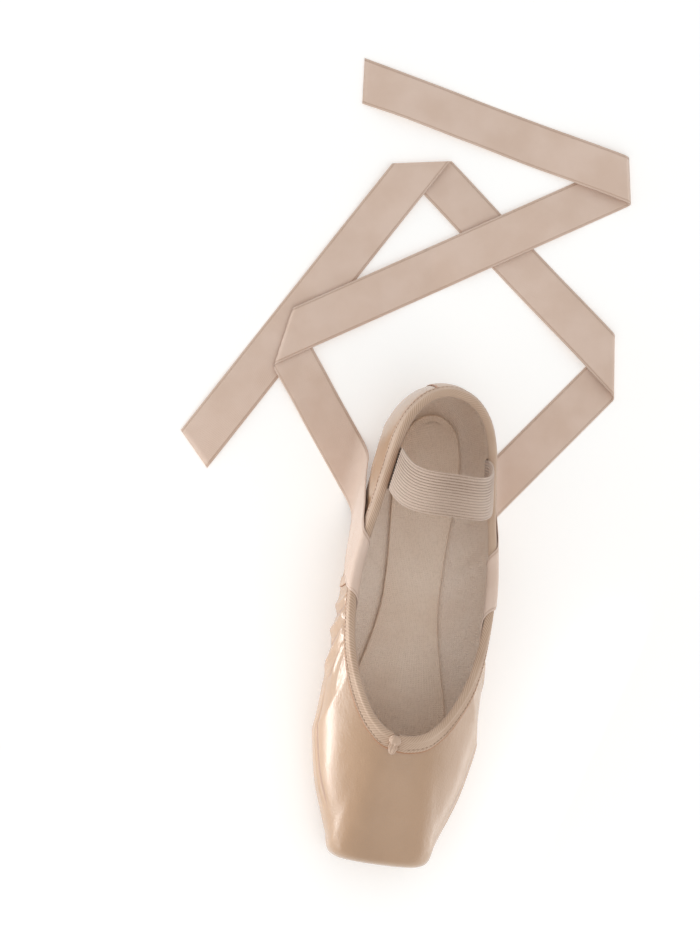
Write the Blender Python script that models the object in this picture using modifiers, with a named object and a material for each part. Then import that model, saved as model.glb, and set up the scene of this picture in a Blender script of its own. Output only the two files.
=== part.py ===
"""A ballet pointe shoe, standing empty on its sole.

The toe points to -Y and the heel to +Y, and +Z is up from the floor. The origin is on the floor, halfway
along the shoe and on its middle line. All lengths are in metres.

The upper is a family of sections that fan round the shoe, from the toe's middle line (section 0) along
one side to the heel's middle line (the last section). Each section is one line up the skin: it leaves the
sole's edge flat, turns up to the shoe's widest point there, and turns in again to the rim of the opening.
Every other piece is cut from the same sections, with its own distance in or out from the skin.
"""

import math

import bmesh
import bpy
import numpy as np

# Outline of the shoe
LENGTH = 0.238
PLATFORM_WIDTH = 0.047
PLATFORM_HEIGHT = 0.026
BALL_WIDTH = 0.0794
HEEL_WIDTH = 0.0586
BALL_PLACE = 0.062
HEEL_PLACE = 0.195

# Opening
VAMP_LENGTH = 0.0615
THROAT_HEIGHT = 0.0555
OPENING_WIDTH = 0.0690
COLLAR_HEIGHT = 0.0470
HEEL_HEIGHT = 0.0605
HEEL_LEAN = 0.0050

# Walls
BOX_WALL = 0.0026
STIFF_FROM = 0.0105
STIFF_RUN = 0.0210
QUARTER_WALL = 0.0012
LIP_WIDTH = 0.0060
CLEARANCE = 0.0003

# Sole and insole
SOLE_SETBACK = 0.0145
HEEL_OVERHANG = 0.0130
SOLE_LENGTH = LENGTH - SOLE_SETBACK - HEEL_OVERHANG
SOLE_FOREPART_WIDTH = 0.0550
SOLE_WAIST_WIDTH = 0.0300
SOLE_HEEL_WIDTH = 0.0340
SOLE_THICKNESS = 0.0030
SOLE_EDGE_ROUND = 0.0005
TOE_SPRING = 0.0030
TOE_SPRING_LENGTH = 0.0300
ARCH_RISE = 0.0025
ARCH_START = 0.0880
ARCH_LENGTH = 0.0900
INSOLE_THICKNESS = 0.0020
INSOLE_INSET = 0.0010

# Binding: a bias tape folded over the rim, with the drawstring inside its roll
TAPE = 0.0008
BINDING_OUTSIDE = 0.0055
BINDING_INSIDE = 0.0075
ROLL_RADIUS = 0.0021
ROLL_RISE = 0.0009
GATHER_OFFSET = 0.0049
GATHER_WIDTH = 0.0040
GATHER_LENGTH = 0.0098
GATHER_HEIGHT = 0.0040
GATHER_PLEATS = 8
GATHER_PLEAT_DEPTH = 0.08

# Strips on the outside
STRIP_THICKNESS = 0.0006
HEEL_STRIP_WIDTH = 0.0160
SIDE_SEAM_WIDTH = 0.0050
SIDE_SEAM_PLACE = 0.1350

# Elastic strap over the instep
ELASTIC_WIDTH = 0.0200
ELASTIC_THICKNESS = 0.0010
ELASTIC_PLACE = 0.1930
ELASTIC_SEWN = 0.0220
ELASTIC_RISE = 0.0540
ELASTIC_SPREAD = 0.0090
ELASTIC_LEAN = 0.0120

# Ribbons
RIBBON_WIDTH = 0.0220
RIBBON_LENGTH = 0.5200
RIBBON_THICKNESS = 0.0005
RIBBON_PLACE = 0.1420
RIBBON_SEWN = 0.0200
RIBBON_GAP = 0.0004
RIBBON_SLACK = 0.0003
SEAM_DEPTH = 0.0135
OVER_BINDING = 0.0105
KEPT_TO_SKIN = 0.0320
LEAVES_SKIN = 0.0140
LEAVING_LENGTH = 0.0220
FLOOR_GAP = 0.0002
FLOOR_BEND = 0.0090
FOLD_RADIUS = 0.0016
CROSSING_RISE = 0.0020
CROSSING_REACH = 0.0200
WAVE_HEIGHT = 0.0012
WAVE_LENGTH = 0.0900

# The sections. Each row is one section, from the toe's middle line to the heel's.
#   place: station of its widest point, in LENGTH from the toe
#   width: half width there, in the straight run from platform to ball to heel
#   sole place, sole width: where it leaves the sole, in SOLE_LENGTH and in the sole's own run of widths
#   rim place, rim width: where it meets the rim, in the opening's length and in half OPENING_WIDTH
#   rise: rim's height over COLLAR_HEIGHT, in the throat's rise before the lowest row, in the heel's after it
#   waist: height of the widest point, and shoulder: height of the upper turn, in the local body height
#   low, high: how sharply the section turns below and above its widest point
SECTION_COLUMNS = (
    "place", "width", "sole_place", "sole_width", "rim_place", "rim_width", "rise",
    "waist", "shoulder", "low", "high",
)
SECTIONS = (
    (0.000, 0.000, 0.000, 0.000, 0.000, 0.000, 1.00, 0.42, 0.990, 3.20, 8.00),
    (0.001, 0.470, 0.003, 0.190, 0.003, 0.125, 0.99, 0.42, 0.970, 3.00, 7.50),
    (0.005, 0.830, 0.011, 0.375, 0.009, 0.235, 0.97, 0.40, 0.890, 2.50, 5.50),
    (0.018, 1.005, 0.025, 0.540, 0.020, 0.340, 0.94, 0.38, 0.790, 2.00, 3.60),
    (0.050, 1.010, 0.045, 0.690, 0.038, 0.440, 0.89, 0.34, 0.750, 1.60, 2.70),
    (0.092, 1.045, 0.074, 0.822, 0.062, 0.545, 0.82, 0.30, 0.710, 1.30, 2.20),
    (0.150, 1.078, 0.120, 0.940, 0.103, 0.670, 0.73, 0.28, 0.670, 1.05, 1.80),
    (0.218, 1.050, 0.182, 0.995, 0.156, 0.790, 0.61, 0.27, 0.650, 0.90, 1.50),
    (0.286, 1.015, 0.254, 1.000, 0.215, 0.885, 0.47, 0.28, 0.660, 0.80, 1.20),
    (0.361, 1.024, 0.340, 0.995, 0.280, 0.953, 0.31, 0.31, 0.700, 0.75, 1.00),
    (0.437, 1.036, 0.425, 0.985, 0.345, 0.988, 0.17, 0.37, 0.740, 0.72, 0.85),
    (0.513, 1.072, 0.510, 0.990, 0.410, 1.000, 0.07, 0.43, 0.770, 0.70, 0.78),
    (0.588, 1.095, 0.596, 1.000, 0.483, 0.985, 0.00, 0.47, 0.790, 0.70, 0.75),
    (0.664, 1.080, 0.680, 1.000, 0.570, 0.925, 0.05, 0.46, 0.790, 0.70, 0.75),
    (0.740, 1.035, 0.762, 1.000, 0.663, 0.840, 0.21, 0.44, 0.790, 0.72, 0.75),
    (0.815, 1.000, 0.842, 1.000, 0.760, 0.765, 0.43, 0.42, 0.790, 0.75, 0.75),
    (0.884, 0.930, 0.910, 0.930, 0.850, 0.690, 0.68, 0.40, 0.790, 0.78, 0.75),
    (0.942, 0.750, 0.962, 0.730, 0.928, 0.550, 0.87, 0.38, 0.790, 0.80, 0.75),
    (0.985, 0.420, 0.990, 0.400, 0.981, 0.310, 0.97, 0.37, 0.790, 0.82, 0.75),
    (1.000, 0.000, 1.000, 0.000, 1.000, 0.000, 1.00, 0.37, 0.790, 0.82, 0.75),
)
LAST = len(SECTIONS) - 1
LOWEST = 12
COLUMNS = dict(zip(SECTION_COLUMNS, np.array(SECTIONS).T))
ODD = ("width", "sole_width", "rim_width")

SECTIONS_PER_ROW = 2
LOW_STEPS = 4
HIGH_STEPS = 12
EVENNESS = 0.82
CURVE_STEPS = 60
PLATE_CUTS = 16
NUDGE = 0.02
SKIN_NUDGE = 0.0002

# The ribbons' soft folds on the floor: how far along the ribbon, and its new heading in degrees, from
# straight back along the shoe's side (0) to straight out from it (90)
FIRST_HEADING = 45.0
FOLDS = {
    "ribbon_left": ((0.178, -50.0), (0.368, 86.0)),
    "ribbon_right": ((0.190, -44.0), (0.332, -142.0)),
}
SIDES = {"ribbon_left": -1.0, "ribbon_right": 1.0}
ROWS_BEFORE_FOLD = (-0.012, -0.004)
ROWS_AFTER_FOLD = (0.010, 0.020)
ROW_GAP = 0.024
END_SLANT = 0.3

# The line on the floor that a ribbon comes down along: how far out it starts and how fast it closes in
SIDE_LINE_START = 0.0008
SIDE_LINE_SLOPE = 0.135

SATIN = (0.72, 0.46, 0.31)
TAPE_COLOUR = (0.58, 0.37, 0.25)
LINING = (0.74, 0.62, 0.48)
LEATHER = (0.43, 0.23, 0.11)
RIBBON_COLOUR = (0.70, 0.49, 0.37)
ELASTIC_COLOUR = (0.52, 0.36, 0.27)


def clear_scene():
    for obj in list(bpy.data.objects):
        bpy.data.objects.remove(obj)


def material(name, colour, roughness, sheen):
    made = bpy.data.materials.new(name)
    made.use_nodes = True
    shader = made.node_tree.nodes["Principled BSDF"]
    shader.inputs["Base Color"].default_value = (*colour, 1.0)
    shader.inputs["Roughness"].default_value = roughness
    shader.inputs["Metallic"].default_value = 0.0
    shader.inputs["Sheen Weight"].default_value = sheen
    return made


def ease(x):
    """0 below 0, 1 above 1, and a smooth step between."""
    x = np.clip(x, 0.0, 1.0)
    return x * x * (3.0 - 2.0 * x)


def column(name, at):
    """A column of the section table at fractional rows, as a cubic curve through its values.

    Rows beyond either middle line are the mirror image of the rows before it, so at runs round the whole
    shoe: 0 is the toe, LAST and -LAST are the heel, and a negative row lies on the -X side.
    """
    values = COLUMNS[name]
    mirror = -1.0 if name in ODD else 1.0
    turned = (np.asarray(at, float) + LAST) % (2 * LAST) - LAST
    side = np.where(turned < 0.0, mirror, 1.0)
    row = np.abs(turned)
    padded = np.concatenate(([mirror * values[1]], values, [mirror * values[-2]]))
    slopes = (padded[2:] - padded[:-2]) / 2.0
    low = np.minimum(row.astype(int), LAST - 1)
    f = row - low
    start = (1.0 + 2.0 * f) * (1.0 - f) ** 2 * values[low] + f * (1.0 - f) ** 2 * slopes[low]
    end = f * f * (3.0 - 2.0 * f) * values[low + 1] + f * f * (f - 1.0) * slopes[low + 1]
    return side * (start + end)


def body_half_width(station):
    """The straight run of half widths from platform to ball to heel."""
    return np.interp(station, (0.0, BALL_PLACE, HEEL_PLACE), (PLATFORM_WIDTH, BALL_WIDTH, HEEL_WIDTH)) / 2.0


def sole_half_width(share):
    """The sole's run of half widths: forepart, waist and heel, joined by smooth steps."""
    to_waist = ease((share - 0.22) / 0.36)
    to_heel = ease((share - 0.62) / 0.22)
    width = SOLE_FOREPART_WIDTH + (SOLE_WAIST_WIDTH - SOLE_FOREPART_WIDTH) * to_waist
    width = width + (SOLE_HEEL_WIDTH - SOLE_WAIST_WIDTH) * to_heel
    return width / 2.0


def sole_bottom(y):
    """Height of the sole's underside: flat under the ball and the heel, sprung at the toe, arched between."""
    along = y + LENGTH / 2.0
    spring_end = SOLE_SETBACK + TOE_SPRING_LENGTH
    spring = TOE_SPRING * np.clip((spring_end - along) / TOE_SPRING_LENGTH, 0.0, None) ** 2
    arch = np.clip((along - ARCH_START) / ARCH_LENGTH, 0.0, 1.0)
    return spring + ARCH_RISE * np.sin(math.pi * arch) ** 2


def body_base(y):
    """Height of the skin where it lies on the sole."""
    return sole_bottom(y) + SOLE_THICKNESS + CLEARANCE


def sole_edge(at):
    """The sole's outline, in the floor's plane."""
    share = column("sole_place", at)
    x = column("sole_width", at) * sole_half_width(share)
    y = SOLE_SETBACK + share * SOLE_LENGTH - LENGTH / 2.0
    return np.stack((x, y), axis=-1)


def section_corners(at):
    """The five points that carry a section: sole edge, low turn, widest point, high turn and rim."""
    at = np.asarray(at, float)
    foot = sole_edge(at)
    station = column("place", at) * LENGTH
    wide_x = column("width", at) * body_half_width(station)
    wide_y = station - LENGTH / 2.0
    row = np.abs((at + LAST) % (2 * LAST) - LAST)
    rise = np.where(row < LOWEST, THROAT_HEIGHT - COLLAR_HEIGHT, HEEL_HEIGHT - COLLAR_HEIGHT)
    rim_z = COLLAR_HEIGHT + rise * column("rise", at)
    rim_x = column("rim_width", at) * OPENING_WIDTH / 2.0
    rim_y = VAMP_LENGTH + column("rim_place", at) * (LENGTH - HEEL_LEAN - VAMP_LENGTH) - LENGTH / 2.0
    base = body_base(foot[..., 1])
    in_box = np.clip(station / BALL_PLACE, 0.0, 1.0)
    body = PLATFORM_HEIGHT + (rim_z - base - PLATFORM_HEIGHT) * in_box
    waist_z = base + column("waist", at) * body
    shoulder_z = base + column("shoulder", at) * body
    corners = (
        (foot[..., 0], foot[..., 1], base),
        (wide_x, wide_y, base),
        (wide_x, wide_y, waist_z),
        (wide_x, wide_y, shoulder_z),
        (rim_x, rim_y, rim_z),
    )
    return [np.stack(corner, axis=-1) for corner in corners]


def turn(start, corner, end, firmness, steps):
    """Points from start to end, drawn towards corner: a rational quadratic curve, spaced between even
    lengths and even steps of its parameter, so that a sharp turn keeps enough points."""
    fine = np.linspace(0.0, 1.0, CURVE_STEPS + 1)
    u = fine[None, :, None]
    weights = ((1.0 - u) ** 2, 2.0 * u * (1.0 - u) * firmness[:, None, None], u**2)
    top = weights[0] * start[:, None] + weights[1] * corner[:, None] + weights[2] * end[:, None]
    curve = top / (weights[0] + weights[1] + weights[2])
    lengths = np.linalg.norm(np.diff(curve, axis=1), axis=2).cumsum(axis=1)
    lengths = np.concatenate((np.zeros((len(curve), 1)), lengths), axis=1)
    wanted = np.linspace(0.0, 1.0, steps + 1)
    rows = []
    for points, length in zip(curve, lengths):
        even = np.interp(wanted * length[-1], length, fine)
        parameter = EVENNESS * even + (1.0 - EVENNESS) * wanted
        rows.append(np.stack([np.interp(parameter, fine, points[:, i]) for i in range(3)], axis=-1))
    return np.array(rows)


def skin_lines(at, low_steps, high_steps):
    """Each section's line up the skin, from the sole's edge to the rim."""
    foot, low, wide, high, rim = section_corners(at)
    lower = turn(foot, low, wide, column("low", at), low_steps)
    upper = turn(wide, high, rim, column("high", at), high_steps)
    return np.concatenate((lower, upper[:, 1:]), axis=1)


def skin_points(at, below):
    """Points of the skin, each below metres down its section from the rim; a negative below goes on
    straight past the rim. at and below have the same shape."""
    lines = skin_lines(at, CURVE_STEPS, CURVE_STEPS)[:, ::-1]
    lengths = np.linalg.norm(np.diff(lines, axis=1), axis=2).cumsum(axis=1)
    lengths = np.concatenate((np.zeros((len(lines), 1)), lengths), axis=1)
    found = []
    for line, length, depth in zip(lines, lengths, below):
        point = np.array([np.interp(depth, length, line[:, i]) for i in range(3)])
        up = (line[0] - line[1]) / np.linalg.norm(line[0] - line[1])
        found.append(point + up * max(0.0, -depth))
    return np.array(found)


def section_length(at):
    """Length of each section from the rim down to the sole's edge."""
    lines = skin_lines(at, CURVE_STEPS, CURVE_STEPS)
    return np.linalg.norm(np.diff(lines, axis=1), axis=2).sum(axis=1)


def off_skin(at, below, out):
    """Points at a distance out from the skin, along its normal. The three arrays have the same shape."""
    at, below, out = np.broadcast_arrays(*(np.asarray(a, float) for a in (at, below, out)))
    flat_at, flat_below = at.ravel(), below.ravel()
    along = skin_points(flat_at + NUDGE, flat_below) - skin_points(flat_at - NUDGE, flat_below)
    up = skin_points(flat_at, flat_below - SKIN_NUDGE) - skin_points(flat_at, flat_below + SKIN_NUDGE)
    normal = np.cross(along, up)
    normal /= np.linalg.norm(normal, axis=1, keepdims=True)
    points = skin_points(flat_at, flat_below) + normal * out.ravel()[:, None]
    return points.reshape(*at.shape, 3)


def row_at(name, wanted):
    """The fractional row at which a quantity along one side of the shoe reaches a wanted value."""
    rows = np.linspace(0.0, LAST, 40 * LAST + 1)
    reads = {
        "widest station": lambda: column("place", rows) * LENGTH,
        "rim station": lambda: section_corners(rows)[4][:, 1] + LENGTH / 2.0,
        "rim width": lambda: section_corners(rows)[4][:, 0],
    }
    values = reads[name]()
    rising = np.maximum.accumulate(values)
    return float(np.interp(wanted, rising, rows))


def grid_object(name, points, look, closed_round=False, closed_along=False):
    """An object whose mesh is a grid of quads through points[i, j]. Its faces look to the side from which
    the first index runs to the right and the second upwards."""
    rows, columns = points.shape[:2]
    index = np.arange(rows * columns).reshape(rows, columns)
    if closed_along:
        index = np.concatenate((index, index[:1]), axis=0)
    if closed_round:
        index = np.concatenate((index, index[:, :1]), axis=1)
    quads = np.stack((index[:-1, :-1], index[1:, :-1], index[1:, 1:], index[:-1, 1:]), axis=-1)
    mesh = bpy.data.meshes.new(name)
    mesh.from_pydata(points.reshape(-1, 3).tolist(), [], quads.reshape(-1, 4).tolist())
    mesh.materials.append(look)
    obj = bpy.data.objects.new(name, mesh)
    PIECES.objects.link(obj)
    return obj


def finish(obj, smooth_angle=40.0):
    """Shades an object smooth, with its corners left sharp."""
    obj.data.shade_smooth()
    obj.data.set_sharp_from_angle(angle=math.radians(smooth_angle))
    return obj


def solidify(obj, thickness, offset):
    wall = obj.modifiers.new("wall", "SOLIDIFY")
    wall.thickness = thickness
    wall.offset = offset
    return wall


def cap_ends(obj):
    """Closes the two open ends of a tube."""
    shape = bmesh.new()
    shape.from_mesh(obj.data)
    bmesh.ops.holes_fill(shape, edges=[e for e in shape.edges if e.is_boundary])
    bmesh.ops.recalc_face_normals(shape, faces=shape.faces)
    shape.to_mesh(obj.data)
    shape.free()


def make_upper(look):
    """The hollow upper: half of it from the sections, mirrored, and given its wall inwards."""
    at = np.linspace(0.0, LAST, SECTIONS_PER_ROW * LAST + 1)
    skin = skin_lines(at, LOW_STEPS, HIGH_STEPS)
    ahead, behind = sole_edge(at + NUDGE), sole_edge(at - NUDGE)
    run = ahead - behind
    inward = np.stack((-run[:, 1], run[:, 0]), axis=-1) / np.linalg.norm(run, axis=1)[:, None]
    lip = sole_edge(at) + inward * LIP_WIDTH
    lip = np.concatenate((lip, body_base(lip[:, 1])[:, None]), axis=1)
    points = np.concatenate((lip[:, None], skin), axis=1)
    upper = grid_object("upper", points, look)

    depth = np.linalg.norm(np.diff(points[:, ::-1], axis=1), axis=2).cumsum(axis=1)
    depth = np.concatenate((np.zeros((len(points), 1)), depth), axis=1)[:, ::-1]
    in_box = ease((LOWEST - at) / (LOWEST / 2.0))[:, None]
    stiff = in_box * ease((depth - STIFF_FROM) / STIFF_RUN)
    thin = QUARTER_WALL / BOX_WALL
    group = upper.vertex_groups.new(name="wall")
    for vertex, share in enumerate((thin + (1.0 - thin) * stiff).ravel()):
        group.add([vertex], float(share), "REPLACE")

    mirror = upper.modifiers.new("other half", "MIRROR")
    mirror.merge_threshold = 0.0001
    wall = solidify(upper, BOX_WALL, -1.0)
    wall.vertex_group = "wall"
    return finish(upper)


def plate(name, edge, under, thickness, look):
    """A flat piece with the outline edge, bent to follow the height that under gives."""
    shape = bmesh.new()
    corners = [shape.verts.new((x, y, 0.0)) for x, y in edge]
    shape.faces.new(corners)
    for y in np.linspace(edge[:, 1].min(), edge[:, 1].max(), PLATE_CUTS + 2)[1:-1]:
        everything = shape.verts[:] + shape.edges[:] + shape.faces[:]
        bmesh.ops.bisect_plane(shape, geom=everything, plane_co=(0.0, y, 0.0), plane_no=(0.0, 1.0, 0.0))
    for vertex in shape.verts:
        vertex.co.z = under(vertex.co.y)
    shape.normal_update()
    bmesh.ops.reverse_faces(shape, faces=[face for face in shape.faces if face.normal.z < 0.0])
    mesh = bpy.data.meshes.new(name)
    shape.to_mesh(mesh)
    shape.free()
    mesh.materials.append(look)
    obj = bpy.data.objects.new(name, mesh)
    PIECES.objects.link(obj)
    solidify(obj, thickness, 1.0)
    return finish(obj)


def make_outsole(look):
    at = np.linspace(-LAST, LAST, 3 * LAST, endpoint=False)
    outsole = plate("outsole", sole_edge(at), sole_bottom, SOLE_THICKNESS, look)
    edge = outsole.modifiers.new("edge", "BEVEL")
    edge.width = SOLE_EDGE_ROUND
    edge.segments = 1
    edge.limit_method = "ANGLE"
    edge.angle_limit = math.radians(60.0)
    return outsole


def make_insole(look):
    at = np.linspace(-LAST, LAST, 2 * LAST, endpoint=False)
    run = sole_edge(at + NUDGE) - sole_edge(at - NUDGE)
    inward = np.stack((-run[:, 1], run[:, 0]), axis=-1) / np.linalg.norm(run, axis=1)[:, None]

    def on_lip(y):
        return body_base(y) + BOX_WALL + CLEARANCE

    return plate("insole", sole_edge(at) + inward * INSOLE_INSET, on_lip, INSOLE_THICKNESS, look)


def make_binding(look):
    """The bias tape, folded over the rim and swept from one end at the throat round to the other."""
    roll = np.radians(np.linspace(-20.0, 200.0, 7))
    outside = TAPE + CLEARANCE
    inside = QUARTER_WALL + CLEARANCE
    roll_out = -QUARTER_WALL / 2.0
    profile = (
        [(BINDING_OUTSIDE, CLEARANCE), (BINDING_OUTSIDE, outside)]
        + [(BINDING_OUTSIDE * share, outside) for share in (0.66, 0.33)]
        + [(-ROLL_RISE - ROLL_RADIUS * math.sin(a), roll_out + ROLL_RADIUS * math.cos(a)) for a in roll]
        + [(BINDING_INSIDE, -inside - TAPE), (BINDING_INSIDE, -inside), (-CLEARANCE, -inside)]
        + [(-CLEARANCE, CLEARANCE)]
        + [(BINDING_OUTSIDE * share, CLEARANCE) for share in (0.33, 0.66)]
    )
    below, out = np.array(profile).T
    first = -row_at("rim width", GATHER_OFFSET - GATHER_WIDTH / 2.0)
    last = 2 * LAST - row_at("rim width", GATHER_OFFSET + GATHER_WIDTH / 2.0)
    shared = np.arange(1, 2 * LAST * SECTIONS_PER_ROW) / SECTIONS_PER_ROW
    at = np.concatenate(([first, first / 2.0, 0.0], shared[shared < last - 0.1], [last]))
    points = off_skin(at[:, None], below[None, :], out[None, :])
    binding = grid_object("binding", points, look, closed_round=True)
    cap_ends(binding)
    return finish(binding, 50.0)


def make_gather(look):
    """The tape's gathered end, drawn up into a small pleated bunch between the binding's two ends."""
    shape = bmesh.new()
    bmesh.ops.create_uvsphere(shape, u_segments=2 * GATHER_PLEATS, v_segments=8, radius=1.0)
    middle = -row_at("rim width", GATHER_OFFSET)
    down = GATHER_LENGTH / 2.0 - ROLL_RADIUS - ROLL_RISE
    centre = off_skin(middle, down, CLEARANCE + GATHER_HEIGHT / 2.0)
    along = off_skin(middle + NUDGE, down, 0.0) - off_skin(middle - NUDGE, down, 0.0)
    up = off_skin(middle, down - SKIN_NUDGE, 0.0) - off_skin(middle, down + SKIN_NUDGE, 0.0)
    along /= np.linalg.norm(along)
    up /= np.linalg.norm(up)
    out = np.cross(along, up)
    sizes = ((GATHER_WIDTH / 2.0 - CLEARANCE) / (1.0 + GATHER_PLEAT_DEPTH), GATHER_HEIGHT / 2.0)
    for vertex in shape.verts:
        angle = math.atan2(vertex.co.y, vertex.co.x)
        pleat = 1.0 + GATHER_PLEAT_DEPTH * math.cos(GATHER_PLEATS * angle)
        across = vertex.co.x * pleat * sizes[0]
        proud = vertex.co.y * sizes[1]
        lengthwise = vertex.co.z * GATHER_LENGTH / 2.0
        vertex.co = centre + across * along + proud * out + lengthwise * up
    bmesh.ops.recalc_face_normals(shape, faces=shape.faces)
    mesh = bpy.data.meshes.new("casing_gather")
    shape.to_mesh(mesh)
    shape.free()
    mesh.materials.append(look)
    gather = bpy.data.objects.new("casing_gather", mesh)
    PIECES.objects.link(gather)
    return finish(gather)


def strip_on_skin(name, middle, half_rows, look):
    """A thin strip laid up the skin, from beside the sole to the binding's lower edge."""
    across = middle + half_rows * np.linspace(-1.0, 1.0, 4)
    top = BINDING_OUTSIDE + CLEARANCE
    bottom = section_length(across) - STRIP_THICKNESS - CLEARANCE
    down = np.linspace(1.0, 0.0, 15)
    below = top + (bottom[:, None] - top) * down[None, :]
    points = off_skin(across[:, None], below, CLEARANCE)
    strip = grid_object(name, points, look)
    solidify(strip, STRIP_THICKNESS, 1.0)
    return finish(strip)


def make_heel_strip(look):
    rows = np.linspace(LAST - 2.0, LAST, 81)
    corners = section_corners(rows)[2]
    half = float(np.interp(-HEEL_STRIP_WIDTH / 2.0, -corners[:, 0], rows))
    return strip_on_skin("heel_strip", float(LAST), LAST - half, look)


def make_side_seams(look):
    middle = row_at("widest station", SIDE_SEAM_PLACE)
    half_rows = row_at("widest station", SIDE_SEAM_PLACE + SIDE_SEAM_WIDTH / 2.0) - middle
    strip_on_skin("side_seam_left", -middle, half_rows, look)
    strip_on_skin("side_seam_right", middle, half_rows, look)


def make_elastic(look):
    """The elastic strap: sewn inside both sides of the heel, standing over the opening as a hoop."""
    middle = row_at("rim station", ELASTIC_PLACE)
    share = np.linspace(-1.0, 1.0, 4)
    ends = row_at("rim station", ELASTIC_PLACE + ELASTIC_WIDTH / 2.0) - middle
    across = middle + ends * share
    seated = QUARTER_WALL + 2.0 * CLEARANCE + ELASTIC_THICKNESS / 2.0
    past_roll = QUARTER_WALL / 2.0 + ROLL_RADIUS + CLEARANCE + ELASTIC_THICKNESS
    below = np.array([ELASTIC_SEWN, 0.7 * ELASTIC_SEWN, BINDING_INSIDE, 0.3 * BINDING_INSIDE, -ROLL_RISE])
    out = -np.array([seated, seated, past_roll, past_roll, past_roll])
    right = off_skin(across[None, :], below[:, None], out[:, None])
    left = right * np.array((-1.0, 1.0, 1.0))

    u = np.linspace(0.0, 1.0, 19)[1:-1, None]
    reach = right[-1, :, 0] + ELASTIC_SPREAD
    rise = ELASTIC_RISE / 0.75
    side = (1.0 - u) ** 3 - u**3
    bow = 3.0 * u * (1.0 - u)
    x = -right[-1, :, 0] * side - reach * bow * (1.0 - 2.0 * u)
    z = right[-1, :, 2] + rise * bow
    flat_y = right[-1, :, 1].mean() - ELASTIC_LEAN + share * ELASTIC_WIDTH / 2.0
    y = right[-1, :, 1] + (flat_y - right[-1, :, 1]) * ease(bow / 0.75)
    hoop = np.stack((x, y, z), axis=-1)
    points = np.concatenate((left, hoop, right[::-1]), axis=0)
    strap = grid_object("elastic_strap", points, look)
    solidify(strap, ELASTIC_THICKNESS, 0.0)
    return finish(strap)


def ribbon_profile():
    """How the ribbon passes the rim, as depth below it and distance out: up the lining, over the roll and
    down the outside. The third array is the ribbon's own length along it, 0 at the top of the roll."""
    half = RIBBON_THICKNESS / 2.0
    lining = -(QUARTER_WALL + 2.0 * CLEARANCE + half)
    inner_leg = lining - TAPE - CLEARANCE
    radius = ROLL_RADIUS + RIBBON_GAP + half
    centre = -QUARTER_WALL / 2.0
    arc = np.radians(np.linspace(200.0, -20.0, 9))
    below = [RIBBON_SEWN, SEAM_DEPTH, BINDING_INSIDE, 0.4 * BINDING_INSIDE]
    out = [lining, lining, inner_leg, inner_leg - RIBBON_SLACK]
    below += [-ROLL_RISE - radius * math.sin(a) for a in arc]
    out += [centre + radius * math.cos(a) for a in arc]
    outer_leg = CLEARANCE + TAPE + RIBBON_GAP + half
    below += [0.35 * OVER_BINDING, OVER_BINDING, (OVER_BINDING + KEPT_TO_SKIN) / 2.0, KEPT_TO_SKIN]
    out += [outer_leg + RIBBON_SLACK, outer_leg, outer_leg, outer_leg]
    below, out = np.array(below), np.array(out)
    length = np.concatenate(([0.0], np.hypot(np.diff(below), np.diff(out)).cumsum()))
    return below, out, length - length[8]


def ribbon_points(name, u, v):
    """The ribbon's middle surface, for arrays of lengths u along it and v across it.

    It is first a straight flat strip on a plane whose first axis runs back along the shoe's side and whose
    second runs over the rim, down and out across the floor. The folds turn it over on that plane, and the
    plane is then wrapped over the rim and bent onto the floor.
    """
    heading = math.radians(FIRST_HEADING)
    start = ribbon_profile()[2][0] / math.sin(heading)
    run = np.array((math.cos(heading), math.sin(heading)))
    spot = (u + start)[..., None] * run + v[..., None] * np.array((run[1], -run[0]))
    lift = np.zeros(u.shape)
    centre, before = start * run, 0.0
    for length, run, new_run, normal in fold_lines(name):
        centre = centre + run * (length - before)
        before = length
        over = (spot - centre) @ normal
        later = (u > length - RIBBON_WIDTH) & (over > 0.0)
        roll = np.pi * FOLD_RADIUS
        on_roll = np.clip(over, 0.0, roll) / FOLD_RADIUS
        back = np.where(over < roll, FOLD_RADIUS * np.sin(on_roll), roll - over)
        spot = np.where(later[..., None], spot + (back - over)[..., None] * normal, spot)
        settle = 1.0 - ease((u - length - 0.7 * RIBBON_WIDTH) / (2.0 * RIBBON_WIDTH))
        lift = lift + np.where(later, FOLD_RADIUS * (1.0 - np.cos(on_roll)) * settle, 0.0)
    return wrapped_over_rim(spot, lift, u, SIDES[name], FOLDS[name][0][0] - RIBBON_WIDTH)


def fold_lines(name):
    """Each fold's length along the ribbon, the headings before and after it and its line's normal."""
    heading = FIRST_HEADING
    found = []
    for length, new_heading in FOLDS[name]:
        turned = [np.array((math.cos(math.radians(a)), math.sin(math.radians(a)))) for a in (heading, new_heading)]
        normal = (turned[0] - turned[1]) / np.linalg.norm(turned[0] - turned[1])
        found.append((length, turned[0], turned[1], normal))
        heading = new_heading
    return found


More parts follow.
